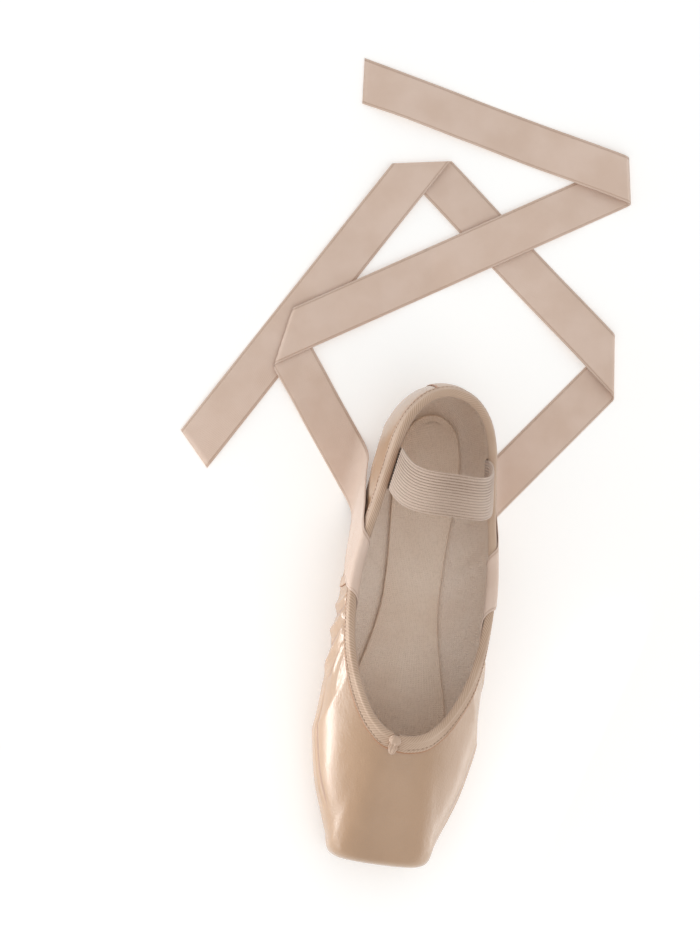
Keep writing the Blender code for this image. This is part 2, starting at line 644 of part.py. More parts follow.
def wrapped_over_rim(spot, lift, u, side, laid):
    """Takes points of the ribbon's plane over the rim, down the side and onto the floor. Past the length
    laid, the ribbon lies on the floor wherever its folds take it."""
    back, over = spot[..., 0], spot[..., 1]
    on_floor = u > laid
    below, out, length = ribbon_profile()
    station = RIBBON_PLACE + back
    rows = np.linspace(0.0, LAST, 20 * LAST + 1)
    stations = np.maximum.accumulate(section_corners(rows)[4][:, 1]) + LENGTH / 2.0
    at = np.interp(station, stations, rows)
    near = (over < LEAVES_SKIN + LEAVING_LENGTH) & ~on_floor
    skin = np.zeros((*spot.shape[:2], 3))
    skin[near] = off_skin(
        side * at[near], np.interp(over[near], length, below), np.interp(over[near], length, out)
    )

    half = RIBBON_THICKNESS / 2.0
    floor = half + FLOOR_GAP
    top = COLLAR_HEIGHT + ROLL_RISE + ROLL_RADIUS
    drop = top - floor - FLOOR_BEND
    arc = np.clip((over - drop) / FLOOR_BEND, 0.0, np.pi / 2.0)
    z = floor + np.where(over < drop, top - floor - over, FLOOR_BEND * (1.0 - np.sin(arc)))
    z = np.where(on_floor, floor, z)
    flat = over - drop - FLOOR_BEND * np.pi / 2.0
    e = FLOOR_BEND * (1.0 - np.cos(arc)) + np.clip(flat, 0.0, None)
    e = np.where(on_floor, FLOOR_BEND + flat, e)
    slope = math.atan(SIDE_LINE_SLOPE)
    widest = np.interp(RIBBON_PLACE / LENGTH, COLUMNS["place"], COLUMNS["width"])
    start_x = widest * body_half_width(RIBBON_PLACE) + SIDE_LINE_START + outer_offset()
    x = start_x - back * math.sin(slope) + e * math.cos(slope)
    y = RIBBON_PLACE - LENGTH / 2.0 + back * math.cos(slope) + e * math.sin(slope)
    wave = WAVE_HEIGHT * ease((u - laid) / WAVE_LENGTH) * np.sin(np.pi * u / WAVE_LENGTH) ** 2
    hanging = np.stack((side * x, y, z + lift + wave), axis=-1)
    blend = np.where(on_floor, 1.0, ease((over - LEAVES_SKIN) / LEAVING_LENGTH))[..., None]
    return skin * (1.0 - blend) + hanging * blend


def outer_offset():
    return CLEARANCE + RIBBON_THICKNESS / 2.0


def raised_over(points, other):
    """Lifts a ribbon over another that lies on the floor, from the other's middle points and heights."""
    gap = np.linalg.norm(points[:, :, None, :2] - other[None, None, :, :2], axis=-1)
    near = ease((RIBBON_WIDTH + CROSSING_REACH - gap.min(axis=2)) / CROSSING_REACH)
    height = other[gap.argmin(axis=2), 2] + CROSSING_RISE
    low = ease((FLOOR_BEND + height - points[..., 2]) / FLOOR_BEND)
    points[..., 2] += np.clip(height - points[..., 2], 0.0, None) * near * low
    return points


def ribbon_rows(name):
    """The rows of points along a ribbon: where each crosses the middle, and how far it slants.

    Rows lie level where the ribbon passes the rim and the floor, and along the fold line at each fold.
    """
    heading = math.radians(FIRST_HEADING)
    length = ribbon_profile()[2]
    drop = COLLAR_HEIGHT + ROLL_RISE + ROLL_RADIUS - FLOOR_BEND
    down = np.linspace(length[-1], drop, 4)[1:]
    bend = drop + FLOOR_BEND * np.pi / 2.0 * np.linspace(0.0, 1.0, 5)[1:]
    rows = [((over - length[0]) / math.sin(heading), 1.0 / math.tan(heading))
            for over in np.concatenate((length, down, bend))]
    for turned_over, (place, run, _, normal) in enumerate(fold_lines(name)):
        ahead = normal @ run
        aside = (-1.0) ** turned_over * normal @ np.array((run[1], -run[0]))
        roll = np.pi * FOLD_RADIUS * np.linspace(0.0, 1.0, 5)
        for over in (*ROWS_BEFORE_FOLD, *roll, *ROWS_AFTER_FOLD):
            rows.append((place + over / ahead, -aside / ahead))
    rows.append((RIBBON_LENGTH, END_SLANT))
    middle, slant = np.array(rows).T
    spare = [np.linspace(a, b, int((b - a) / ROW_GAP) + 2)[1:-1] for a, b in zip(middle, middle[1:])]
    every = np.sort(np.concatenate((middle, *spare)))
    return every, np.interp(every, middle, slant)


def make_ribbons(look):
    laid = {}
    for name in ("ribbon_right", "ribbon_left"):
        middle, slant = ribbon_rows(name)
        v = np.linspace(-0.5, 0.5, 4) * RIBBON_WIDTH
        u = middle[:, None] + slant[:, None] * v
        laid[name] = ribbon_points(name, u, np.broadcast_to(v, u.shape))
    on_floor = laid["ribbon_right"].mean(axis=1)
    laid["ribbon_left"] = raised_over(laid["ribbon_left"], on_floor[on_floor[:, 2] < FLOOR_BEND])
    for name, points in laid.items():
        ribbon = grid_object(name, points, look)
        solidify(ribbon, RIBBON_THICKNESS, 0.0)
        finish(ribbon)


clear_scene()
PIECES = bpy.data.collections.new("pointe_shoe")
bpy.context.scene.collection.children.link(PIECES)

satin = material("satin", SATIN, 0.35, 0.3)
tape = material("binding_tape", TAPE_COLOUR, 0.70, 0.2)
leather = material("sole_leather", LEATHER, 0.60, 0.0)
lining = material("lining", LINING, 0.85, 0.0)
ribbon_satin = material("ribbon_satin", RIBBON_COLOUR, 0.45, 0.3)
elastic = material("elastic_webbing", ELASTIC_COLOUR, 0.80, 0.1)

make_upper(satin)
make_outsole(leather)
make_insole(lining)
make_binding(tape)
make_gather(tape)
make_heel_strip(satin)
make_side_seams(satin)
make_elastic(elastic)
make_ribbons(ribbon_satin)
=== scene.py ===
import math

import bmesh
import bpy
import numpy as np
from mathutils import Matrix, Vector


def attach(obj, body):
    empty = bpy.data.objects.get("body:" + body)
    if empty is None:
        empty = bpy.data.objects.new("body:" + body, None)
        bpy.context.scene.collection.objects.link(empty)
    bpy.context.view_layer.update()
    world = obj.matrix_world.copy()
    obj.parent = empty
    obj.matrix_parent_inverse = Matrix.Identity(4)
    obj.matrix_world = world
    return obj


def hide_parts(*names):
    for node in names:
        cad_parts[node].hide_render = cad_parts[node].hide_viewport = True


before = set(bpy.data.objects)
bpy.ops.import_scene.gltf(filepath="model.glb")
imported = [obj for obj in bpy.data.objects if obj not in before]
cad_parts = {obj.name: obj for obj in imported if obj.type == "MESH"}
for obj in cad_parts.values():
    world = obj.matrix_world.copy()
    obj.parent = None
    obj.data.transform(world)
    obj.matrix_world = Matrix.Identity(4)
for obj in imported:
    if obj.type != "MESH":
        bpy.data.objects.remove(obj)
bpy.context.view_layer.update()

# Camera, floor and light.
# A plain pale studio: a wide floor, long soft boxes low on both sides and a weaker one overhead. The camera
# looks down on the shoe from just beside its middle line, with the toe to the bottom of the picture.
LOOKED_AT = Vector((-0.041, 0.0680, 0.030))
TOWARDS_CAMERA = Vector((-0.128, -0.055, 1.0)).normalized()
PICTURE_UP = Vector((-0.1383, 0.9904, 0.0))
CAMERA_DISTANCE = 2.0
PICTURE_HEIGHT = 0.466
SENSOR = 0.024
WORLD_LIGHT = 0.74
FLOOR_SIDE = 12.0
FLOOR_GLOW = 0.26
# Each box: its name, where it stands, what it is turned to, its width and length, and its power in watts
SOFT_BOXES = (
    ("light_left", (-0.60, 0.00, 0.060), (0.0, 0.0, 0.035), (0.08, 1.30), 0.85),
    ("light_right", (0.60, -0.02, 0.050), (0.0, 0.0, 0.035), (0.06, 1.20), 0.4),
    ("low_left", (-0.190, -0.075, 0.013), (0.0, -0.062, 0.013), (0.020, 0.16), 0.125),
    ("low_right", (0.100, -0.062, 0.011), (0.0, -0.030, 0.011), (0.014, 0.14), 0.012),
    ("light_over", (0.30, -0.60, 1.60), (0.0, 0.0, 0.03), (0.9, 0.9), 2.5),
)


def looking(spot, target, up):
    """A turn that looks from spot to target with up as the picture's upright."""
    back = (spot - target).normalized()
    right = up.cross(back).normalized()
    return Matrix((right, back.cross(right), back)).transposed().to_4x4()


def soft_box(name, spot, target, size, power):
    """A rectangle of light at spot, turned to target."""
    lamp = bpy.data.lights.new(name, "AREA")
    lamp.shape = "RECTANGLE"
    lamp.size, lamp.size_y = size
    lamp.energy = power
    box = bpy.data.objects.new(name, lamp)
    bpy.context.scene.collection.objects.link(box)
    box.matrix_world = Matrix.Translation(spot) @ looking(spot, target, Vector((0.0, 1.0, 0.0)))
    box.visible_camera = False
    return box


camera_data = bpy.data.cameras.new("camera")
camera_data.sensor_fit = "VERTICAL"
camera_data.sensor_height = 1000.0 * SENSOR
camera_data.lens = 1000.0 * SENSOR * CAMERA_DISTANCE / PICTURE_HEIGHT
camera = bpy.data.objects.new("camera", camera_data)
bpy.context.scene.collection.objects.link(camera)
camera_spot = LOOKED_AT + CAMERA_DISTANCE * TOWARDS_CAMERA
camera.matrix_world = Matrix.Translation(camera_spot) @ looking(camera_spot, LOOKED_AT, PICTURE_UP)
bpy.context.scene.camera = camera

for box_name, stands_at, lights, size, power in SOFT_BOXES:
    soft_box(box_name, Vector(stands_at), Vector(lights), size, power)

world = bpy.data.worlds.new("studio")
world.use_nodes = True
world.node_tree.nodes["Background"].inputs["Color"].default_value = (1.0, 1.0, 1.0, 1.0)
world.node_tree.nodes["Background"].inputs["Strength"].default_value = WORLD_LIGHT
bpy.context.scene.world = world
bpy.context.scene.view_settings.view_transform = "Standard"


def linear(*colour):
    """A colour of 0 to 255 as it is seen, turned into the light that it gives back."""
    c = np.array(colour) / 255.0
    return tuple(float(x) for x in np.where(c < 0.04045, c / 12.92, ((c + 0.055) / 1.055) ** 2.4))


class Finish:
    """A material's nodes: add() makes one, from its settings and its inputs by name or number. Each input is
    a value or another node's output."""

    def __init__(self, name, colour, roughness, **sockets):
        """A plain shader of one colour and roughness, with the other sockets named in small letters."""
        self.material = bpy.data.materials.new(name)
        self.material.use_nodes = True
        self.tree = self.material.node_tree
        self.shader = self.tree.nodes["Principled BSDF"]
        self.put(self.shader, {"Base Color": (*colour, 1.0), "Roughness": roughness, "Metallic": 0.0})
        self.put(self.shader, {socket.replace("_", " ").title(): value for socket, value in sockets.items()})

    def put(self, node, inputs):
        """Sets a node's inputs, or links them where the value is another node's output."""
        for key, value in inputs.items():
            if isinstance(value, bpy.types.NodeSocket):
                self.tree.links.new(value, node.inputs[key])
            else:
                node.inputs[key].default_value = value
        return node

    def add(self, kind, inputs=None, **settings):
        """A new node of a kind, with its settings and inputs."""
        node = self.tree.nodes.new("ShaderNode" + kind)
        for key, value in settings.items():
            setattr(node, key, value)
        return self.put(node, inputs or {})

    def place(self, scale=(1.0, 1.0, 1.0), cloth=False, turn=0.0):
        """The point in metres, on the object or on the piece's own cloth, times scale."""
        if cloth:
            spot = self.add("UVMap", uv_map="cloth").outputs[0]
        else:
            spot = self.add("TexCoord").outputs["Object"]
        mapping = self.add("Mapping", {"Vector": spot, "Scale": scale, "Rotation": (0.0, 0.0, turn)})
        return mapping.outputs[0]

    def noise(self, where, detail=2.0, roughness=0.5):
        """A soft cloudy value about 0.5, one cloud to each unit."""
        inputs = {"Vector": where, "Scale": 1.0, "Detail": detail, "Roughness": roughness}
        return self.add("TexNoise", inputs).outputs[0]

    def math(self, operation, a, b=0.0, c=0.0):
        """The outcome of an operation on one, two or three values."""
        return self.add("Math", {0: a, 1: b, 2: c}, operation=operation).outputs[0]

    def spread(self, value, low, high, to_low=0.0, to_high=1.0):
        """Carries low..high to to_low..to_high, smoothly and no further."""
        inputs = {"Value": value, "From Min": low, "From Max": high, "To Min": to_low, "To Max": to_high}
        return self.add("MapRange", inputs, interpolation_type="SMOOTHSTEP").outputs[0]

    def blend(self, share, first, second):
        """A colour that goes from first to second as share goes from 0 to 1."""
        def full(colour):
            """A plain colour with its fourth number."""
            return colour if isinstance(colour, bpy.types.NodeSocket) else (*colour, 1.0)

        node = self.add("Mix", data_type="RGBA")
        return self.put(node, {"Factor": share, 6: full(first), 7: full(second)}).outputs[2]

    def bump(self, heights):
        """Bumps from pairs of a height value and its size in metres, one on the other."""
        normal = None
        for height, size in heights:
            inputs = {"Height": height, "Strength": 1.0, "Distance": size}
            if normal is not None:
                inputs["Normal"] = normal
            normal = self.add("Bump", inputs).outputs[0]
        self.put(self.shader, {"Normal": normal, "Coat Normal": normal})

    def colour(self, value):
        """Gives the shader a colour that varies over the piece."""
        self.put(self.shader, {"Base Color": value})

    def roughness(self, value):
        """Gives the shader a roughness that varies over the piece."""
        self.put(self.shader, {"Roughness": value})


pale = Finish("pale_floor", linear(246, 246, 244), 0.6)
pale.colour(pale.blend(pale.noise(pale.place((3.0, 3.0, 3.0))), linear(245, 245, 243), linear(248, 248, 247)))
pale.put(pale.shader, {"Emission Color": (1.0, 1.0, 0.99, 1.0), "Emission Strength": FLOOR_GLOW})
floor_mesh = bpy.data.meshes.new("floor")
far = FLOOR_SIDE / 2.0
floor_mesh.from_pydata([(-far, -far, 0), (far, -far, 0), (far, far, 0), (-far, far, 0)], [], [(0, 1, 2, 3)])
floor_mesh.materials.append(pale.material)
floor = bpy.data.objects.new("floor", floor_mesh)
bpy.context.scene.collection.objects.link(floor)

# The satin upper.
# Cotton-backed satin drawn over a stiff box at the toe and a soft canvas behind it, closed underneath by
# the sole. It is one skin of sections that fan round the shoe, from the toe's middle line to the heel's.
LENGTH = 0.238
PLATFORM_WIDTH = 0.047
PLATFORM_HEIGHT = 0.026
BALL_WIDTH = 0.0794
HEEL_WIDTH = 0.0586
BALL_PLACE = 0.062
HEEL_PLACE = 0.195
VAMP_LENGTH = 0.0615
THROAT_HEIGHT = 0.0555
OPENING_WIDTH = 0.0690
COLLAR_HEIGHT = 0.0470
HEEL_HEIGHT = 0.0605
HEEL_LEAN = 0.0050
BOX_WALL = 0.0026
STIFF_FROM = 0.0105
STIFF_RUN = 0.0210
QUARTER_WALL = 0.0012
LIP_WIDTH = 0.0060
CLEARANCE = 0.0003
SOLE_SETBACK = 0.0145
SOLE_LENGTH = 0.2105
SOLE_WIDTHS = (0.0550, 0.0300, 0.0340)
SOLE_THICKNESS = 0.0030
TOE_SPRING = 0.0030
TOE_SPRING_LENGTH = 0.0300
ARCH_RISE = 0.0025
ARCH_START = 0.0880
ARCH_LENGTH = 0.0900
SECTION_COLUMNS = (
    "place", "width", "sole_place", "sole_width", "rim_place", "rim_width", "rise",
    "waist", "shoulder", "low", "high",
)
SECTIONS = (
    (0.000, 0.000, 0.000, 0.000, 0.000, 0.000, 1.00, 0.42, 0.990, 3.20, 8.00),
    (0.001, 0.470, 0.003, 0.190, 0.003, 0.125, 0.99, 0.42, 0.970, 3.00, 7.50),
    (0.005, 0.830, 0.011, 0.375, 0.009, 0.235, 0.97, 0.40, 0.890, 2.50, 5.50),
    (0.018, 1.005, 0.025, 0.540, 0.020, 0.340, 0.94, 0.38, 0.790, 2.00, 3.60),
    (0.050, 1.010, 0.045, 0.690, 0.038, 0.440, 0.89, 0.34, 0.750, 1.60, 2.70),
    (0.092, 1.045, 0.074, 0.822, 0.062, 0.545, 0.82, 0.30, 0.710, 1.30, 2.20),
    (0.150, 1.078, 0.120, 0.940, 0.103, 0.670, 0.73, 0.28, 0.670, 1.05, 1.80),
    (0.218, 1.050, 0.182, 0.995, 0.156, 0.790, 0.61, 0.27, 0.650, 0.90, 1.50),
    (0.286, 1.015, 0.254, 1.000, 0.215, 0.885, 0.47, 0.28, 0.660, 0.80, 1.20),
    (0.361, 1.024, 0.340, 0.995, 0.280, 0.953, 0.31, 0.31, 0.700, 0.75, 1.00),
    (0.437, 1.036, 0.425, 0.985, 0.345, 0.988, 0.17, 0.37, 0.740, 0.72, 0.85),
    (0.513, 1.072, 0.510, 0.990, 0.410, 1.000, 0.07, 0.43, 0.770, 0.70, 0.78),
    (0.588, 1.095, 0.596, 1.000, 0.483, 0.985, 0.00, 0.47, 0.790, 0.70, 0.75),
    (0.664, 1.080, 0.680, 1.000, 0.570, 0.925, 0.05, 0.46, 0.790, 0.70, 0.75),
    (0.740, 1.035, 0.762, 1.000, 0.663, 0.840, 0.21, 0.44, 0.790, 0.72, 0.75),
    (0.815, 1.000, 0.842, 1.000, 0.760, 0.765, 0.43, 0.42, 0.790, 0.75, 0.75),
    (0.884, 0.930, 0.910, 0.930, 0.850, 0.690, 0.68, 0.40, 0.790, 0.78, 0.75),
    (0.942, 0.750, 0.962, 0.730, 0.928, 0.550, 0.87, 0.38, 0.790, 0.80, 0.75),
    (0.985, 0.420, 0.990, 0.400, 0.981, 0.310, 0.97, 0.37, 0.790, 0.82, 0.75),
    (1.000, 0.000, 1.000, 0.000, 1.000, 0.000, 1.00, 0.37, 0.790, 0.82, 0.75),
)
LAST = len(SECTIONS) - 1
LOWEST = 12
COLUMNS = dict(zip(SECTION_COLUMNS, np.array(SECTIONS).T))
ODD = ("width", "sole_width", "rim_width")
TURN_STEPS = 48
AT_NUDGE = 0.02
DEPTH_NUDGE = 0.0002
PAST_RIM = 0.012
SATIN_THICKNESS = 0.0004
SATIN_STEP = 0.00106
SATIN_ROWS = 88
GATHERS_AT = -10.3
GATHERS_REACH = 1.3
GATHERS_CLOSER = 1.4
BINDING_OUTSIDE = 0.0055
SEAM_ROW = 11.725
MIDDLE_DEPTH = 0.030
# How high the small puckers stand, in millimetres: along the sole's edge, the binding and the side seams
SOLE_PUCKER = 0.16
BINDING_PUCKER = 0.07
SEAM_PUCKER = 0.10
# How deep a crease is, in metres, where its painted shade is full
HOLLOW_DEPTH = 0.0006
FADE_IN = 0.22
FADE_OUT = 0.30

# The creases: the places that each runs through, as row and depth below the rim in millimetres, then its half
# width and its height in millimetres. A height below 0 is a trough.
CREASES = (
    (((-4.6, 57), (-5.5, 53), (-6.5, 48), (-7.5, 42), (-8.4, 36), (-9.2, 28)), 1.0, -0.55),
    (((-4.9, 61), (-5.8, 56), (-6.8, 50), (-7.8, 43), (-8.6, 37)), 0.9, 0.35),
    (((4.8, 57), (5.5, 52), (6.5, 45), (7.5, 38), (8.3, 31), (9.0, 24)), 0.9, -0.45),
    (((4.4, 62), (5.3, 57), (6.3, 50), (7.3, 43), (8.2, 36)), 0.9, 0.35),
    (((4.2, 68), (5.2, 62), (6.4, 55), (7.6, 47)), 0.8, -0.40),
    (((-9.3, 8), (-9.1, 15), (-8.6, 26)), 1.3, 0.80),
    (((-8.7, 7), (-8.4, 13), (-7.9, 20)), 1.1, 0.45),
    (((-9.45, 4), (-9.25, 16), (-8.8, 34)), 1.4, -0.50),
    (((-9.85, 2), (-9.75, 16), (-9.3, 52)), 2.9, 1.50),
    (((-10.17, 4), (-10.1, 20), (-9.8, 50)), 1.3, -0.60),
    (((-10.45, 2), (-10.45, 16), (-10.3, 50)), 2.8, 1.70),
    (((-10.75, 4), (-10.8, 20), (-10.8, 46)), 1.3, -0.60),
    (((-11.0, 2), (-11.05, 14), (-11.1, 42)), 2.1, 1.20),
    (((9.3, 7), (9.2, 14), (8.9, 26)), 1.5, 0.90),
    (((9.7, 8), (9.7, 16), (9.5, 26)), 1.1, -0.45),
    (((10.4, 11), (10.5, 20), (10.4, 29)), 1.8, 0.50),
    (((12.6, 54), (12.9, 42), (13.6, 29)), 2.4, 0.70),
    (((12.2, 54), (12.4, 44), (12.9, 33)), 1.8, -0.40),
    (((13.5, 54), (13.9, 44), (14.6, 33)), 1.9, 0.55),
    (((14.4, 54), (15.0, 43), (15.9, 28)), 3.0, 0.60),
    (((11.2, 56), (10.9, 44), (10.3, 30)), 2.6, 0.60),
    (((10.4, 58), (9.9, 47), (9.2, 36)), 2.2, -0.40),
    (((9.6, 62), (9.1, 50), (8.4, 40)), 2.4, 0.40),
    (((-12.5, 54), (-12.9, 43), (-13.8, 31)), 2.2, 0.65),
    (((-13.2, 54), (-13.7, 44), (-14.6, 36)), 1.8, -0.40),
    (((-13.9, 54), (-14.5, 43), (-15.5, 30)), 2.6, 0.65),
    (((-15.4, 56), (-16.0, 46), (-16.6, 33)), 2.2, 0.45),
    (((-11.0, 56), (-10.8, 46), (-10.4, 36)), 2.0, 0.50),
    (((-9.9, 60), (-9.5, 50), (-8.9, 40)), 2.2, -0.40),
    (((12.3, 12), (12.9, 20), (13.1, 31)), 2.6, 0.45),
    (((14.3, 11), (14.6, 19), (15.3, 27)), 2.4, 0.40),
    (((-14.0, 11), (-14.5, 20), (-15.4, 28)), 2.4, 0.45),
    (((16.2, 58), (16.6, 47), (17.1, 34)), 1.8, 0.45),
    (((-17.0, 60), (-17.2, 50), (-17.4, 38)), 1.6, 0.40),
)

# The pleats under the toe, gathered to the sole's front tip: the row each starts from at the sole's edge, the
# row it fans out to at the platform, how far up it reaches in millimetres below the rim, and its height
TOE_PLEATS = (
    (-5.2, -5.7, 74, 0.30), (-4.2, -4.8, 79, 0.50), (-3.1, -3.7, 84, 0.70), (-2.1, -2.6, 86, 0.75),
    (-1.1, -1.4, 84, 0.85), (-0.2, -0.3, 87, 0.75), (0.8, 1.0, 83, 0.85), (1.8, 2.3, 86, 0.75),
    (2.8, 3.4, 83, 0.75), (3.9, 4.5, 79, 0.50), (5.0, 5.6, 75, 0.30),
)
PLEAT_HALF_WIDTH = 0.85


def ease(x):
    """0 below 0, 1 above 1, and a smooth step between."""
    x = np.clip(x, 0.0, 1.0)
    return x * x * (3.0 - 2.0 * x)


def column(name, at):
    """A column of the section table at fractional rows: a cubic curve through its values, and its mirror
    image past the toe's and the heel's middle lines. A negative row lies on the -X side."""
    values = COLUMNS[name]
    mirror = -1.0 if name in ODD else 1.0
    turned = (np.asarray(at, float) + LAST) % (2 * LAST) - LAST
    side = np.where(turned < 0.0, mirror, 1.0)
    row = np.abs(turned)
    padded = np.concatenate(([mirror * values[1]], values, [mirror * values[-2]]))
    slopes = (padded[2:] - padded[:-2]) / 2.0
    low = np.minimum(row.astype(int), LAST - 1)
    f = row - low
    start = (1.0 + 2.0 * f) * (1.0 - f) ** 2 * values[low] + f * (1.0 - f) ** 2 * slopes[low]
    end = f * f * (3.0 - 2.0 * f) * values[low + 1] + f * f * (f - 1.0) * slopes[low + 1]
    return side * (start + end)


def own_row(at):
    """A fractional row counted from the toe's middle line on its own side."""
    return np.abs((at + LAST) % (2 * LAST) - LAST)


def run_along(line):
    """Metres from a line's first point to each of its points, along it."""
    return np.concatenate(([0.0], np.linalg.norm(np.diff(line, axis=0), axis=1).cumsum()))


def body_half_width(station):
    """The straight run of half widths from platform to ball to heel."""
    return np.interp(station, (0.0, BALL_PLACE, HEEL_PLACE), (PLATFORM_WIDTH, BALL_WIDTH, HEEL_WIDTH)) / 2.0


def sole_half_width(share):
    """The sole's half widths: forepart, waist and heel, joined by smooth steps."""
    forepart, waist, heel = SOLE_WIDTHS
    width = forepart + (waist - forepart) * ease((share - 0.22) / 0.36)
    return (width + (heel - waist) * ease((share - 0.62) / 0.22)) / 2.0


def sole_bottom(y):
    """Height of the sole's underside: flat under ball and heel, sprung at the toe, arched between."""
    along = y + LENGTH / 2.0
    spring = np.clip((SOLE_SETBACK + TOE_SPRING_LENGTH - along) / TOE_SPRING_LENGTH, 0.0, None)
    arch = np.clip((along - ARCH_START) / ARCH_LENGTH, 0.0, 1.0)
    return TOE_SPRING * spring**2 + ARCH_RISE * np.sin(math.pi * arch) ** 2


def body_base(y):
    """Height of the skin where it lies on the sole."""
    return sole_bottom(y) + SOLE_THICKNESS + CLEARANCE


def sole_edge(at):
    """The sole's outline, in the floor's plane."""
    share = column("sole_place", at)
    x = column("sole_width", at) * sole_half_width(share)
    return np.stack((x, SOLE_SETBACK + share * SOLE_LENGTH - LENGTH / 2.0), axis=-1)


def inside_sole_edge(at, inset):
    """The sole's outline moved inwards by inset, square to itself."""
    run = sole_edge(at + AT_NUDGE) - sole_edge(at - AT_NUDGE)
    inward = np.stack((-run[..., 1], run[..., 0]), axis=-1) / np.linalg.norm(run, axis=-1)[..., None]
    return sole_edge(at) + inward * inset


def section_corners(at):
    """The points that carry a section: the lip's inner edge, sole edge, low turn, widest point, high turn
    and rim."""
    foot = sole_edge(at)
    lip = inside_sole_edge(at, LIP_WIDTH)
    station = column("place", at) * LENGTH
    wide_x = column("width", at) * body_half_width(station)
    wide_y = station - LENGTH / 2.0
    row = own_row(at)
    rise = np.where(row < LOWEST, THROAT_HEIGHT - COLLAR_HEIGHT, HEEL_HEIGHT - COLLAR_HEIGHT)
    rim_z = COLLAR_HEIGHT + rise * column("rise", at)
    rim_x = column("rim_width", at) * OPENING_WIDTH / 2.0
    rim_y = VAMP_LENGTH + column("rim_place", at) * (LENGTH - HEEL_LEAN - VAMP_LENGTH) - LENGTH / 2.0
    base = body_base(foot[..., 1])
    in_box = np.clip(station / BALL_PLACE, 0.0, 1.0)
    body = PLATFORM_HEIGHT + (rim_z - base - PLATFORM_HEIGHT) * in_box
    corners = (
        (lip[..., 0], lip[..., 1], body_base(lip[..., 1])),
        (foot[..., 0], foot[..., 1], base),
        (wide_x, wide_y, base),
        (wide_x, wide_y, base + column("waist", at) * body),
        (wide_x, wide_y, base + column("shoulder", at) * body),
        (rim_x, rim_y, rim_z),
    )
    return [np.stack(corner, axis=-1) for corner in corners]


def turn(start, corner, end, firmness):
    """Points from start to end, drawn towards corner: a rational quadratic curve, a row for each section."""
    u = np.linspace(0.0, 1.0, TURN_STEPS + 1)[None, :, None]
    pull = 2.0 * u * (1.0 - u) * firmness[:, None, None]
    top = (1.0 - u) ** 2 * start[:, None] + pull * corner[:, None] + u**2 * end[:, None]
    return top / ((1.0 - u) ** 2 + pull + u**2)


def section_lines(at):
    """Each section's line from past the rim down to the lip's inner edge, and how far below the rim each of
    its points is. Past the rim it goes on straight."""
    lip, foot, low, wide, high, rim = section_corners(at)
    lower = turn(foot, low, wide, column("low", at))
    upper = turn(wide, high, rim, column("high", at))
    line = np.concatenate((lip[:, None], lower, upper[:, 1:]), axis=1)[:, ::-1]
    up = line[:, 0] - line[:, 1]
    up = line[:, 0] + PAST_RIM * up / np.linalg.norm(up, axis=-1)[:, None]
    line = np.concatenate((up[:, None], line), axis=1)
    steps = np.linalg.norm(np.diff(line, axis=1), axis=2).cumsum(axis=1) - PAST_RIM
    return line, np.concatenate((np.full((len(line), 1), -PAST_RIM), steps), axis=1)


def skin_points(at, below):
    """Points of the skin, each below metres under the rim along its section. The sections are laid end to end
    on one long line, a metre apart, and read by one interpolation."""
    line, depth = section_lines(at)
    apart = np.arange(len(at))[:, None]
    wanted = (np.clip(below, depth[:, :1], depth[:, -1:]) + apart).ravel()
    known = (depth + apart).ravel()
    read = [np.interp(wanted, known, line[..., i].ravel()) for i in range(3)]
    return np.stack(read, axis=-1).reshape(*below.shape, 3)


def section_depth(at):
    """How far below the rim each section's sole edge and lip edge are."""
    depth = section_lines(at)[1]
    return depth[:, -2], depth[:, -1]


def off_skin(at, below, out):
    """Points at a distance out from the skin, along its normal: one section for each of at, one row of below
    and out for each section."""
    at = np.asarray(at, float)
    below, out = np.broadcast_arrays(np.asarray(below, float), np.asarray(out, float))
    below, out = (np.broadcast_to(a, (len(at), below.shape[-1])) for a in (below, out))
    along = skin_points(at + AT_NUDGE, below) - skin_points(at - AT_NUDGE, below)
    up = skin_points(at, below - DEPTH_NUDGE) - skin_points(at, below + DEPTH_NUDGE)
    normal = np.cross(along, up)
    normal /= np.linalg.norm(normal, axis=-1, keepdims=True)
    return skin_points(at, below) + normal * out[..., None]


def near_line(points, line, width):
    """How near each point is to the smooth line on the skin through line's rows and depths: 1 on it, falling
    as exp(-(distance / width) squared), and fading out towards the line's two ends."""
    rows, depths = np.array(line, float).T
    steps = np.linspace(0.0, len(line) - 1.0, 8 * (len(line) - 1) + 1)
    rows, depths = (np.interp(steps, range(len(line)), a) for a in (rows, depths))
    spots = skin_points(rows, depths[:, None] / 1000.0)[:, 0]
    close = np.zeros(points.shape[:-1])
    middle = np.linalg.norm(points - spots.mean(axis=0), axis=-1)
    reach = np.linalg.norm(spots - spots.mean(axis=0), axis=-1).max() + 3.0 * width
    there = middle < reach
    some = points[there]
    best = np.full(len(some), 1.0)
    share = np.zeros(len(some))
    for k, (a, b) in enumerate(zip(spots, spots[1:])):
        t = np.clip((some - a) @ (b - a) / ((b - a) @ (b - a)), 0.0, 1.0)
        gap = np.linalg.norm(some - a - t[:, None] * (b - a), axis=-1)
        share = np.where(gap < best, (k + t) / (len(spots) - 1.0), share)
        best = np.minimum(best, gap)
    fade = ease(share / FADE_IN) * ease((1.0 - share) / FADE_OUT)
    close[there] = np.exp(-((best / width) ** 2)) * fade
    return close


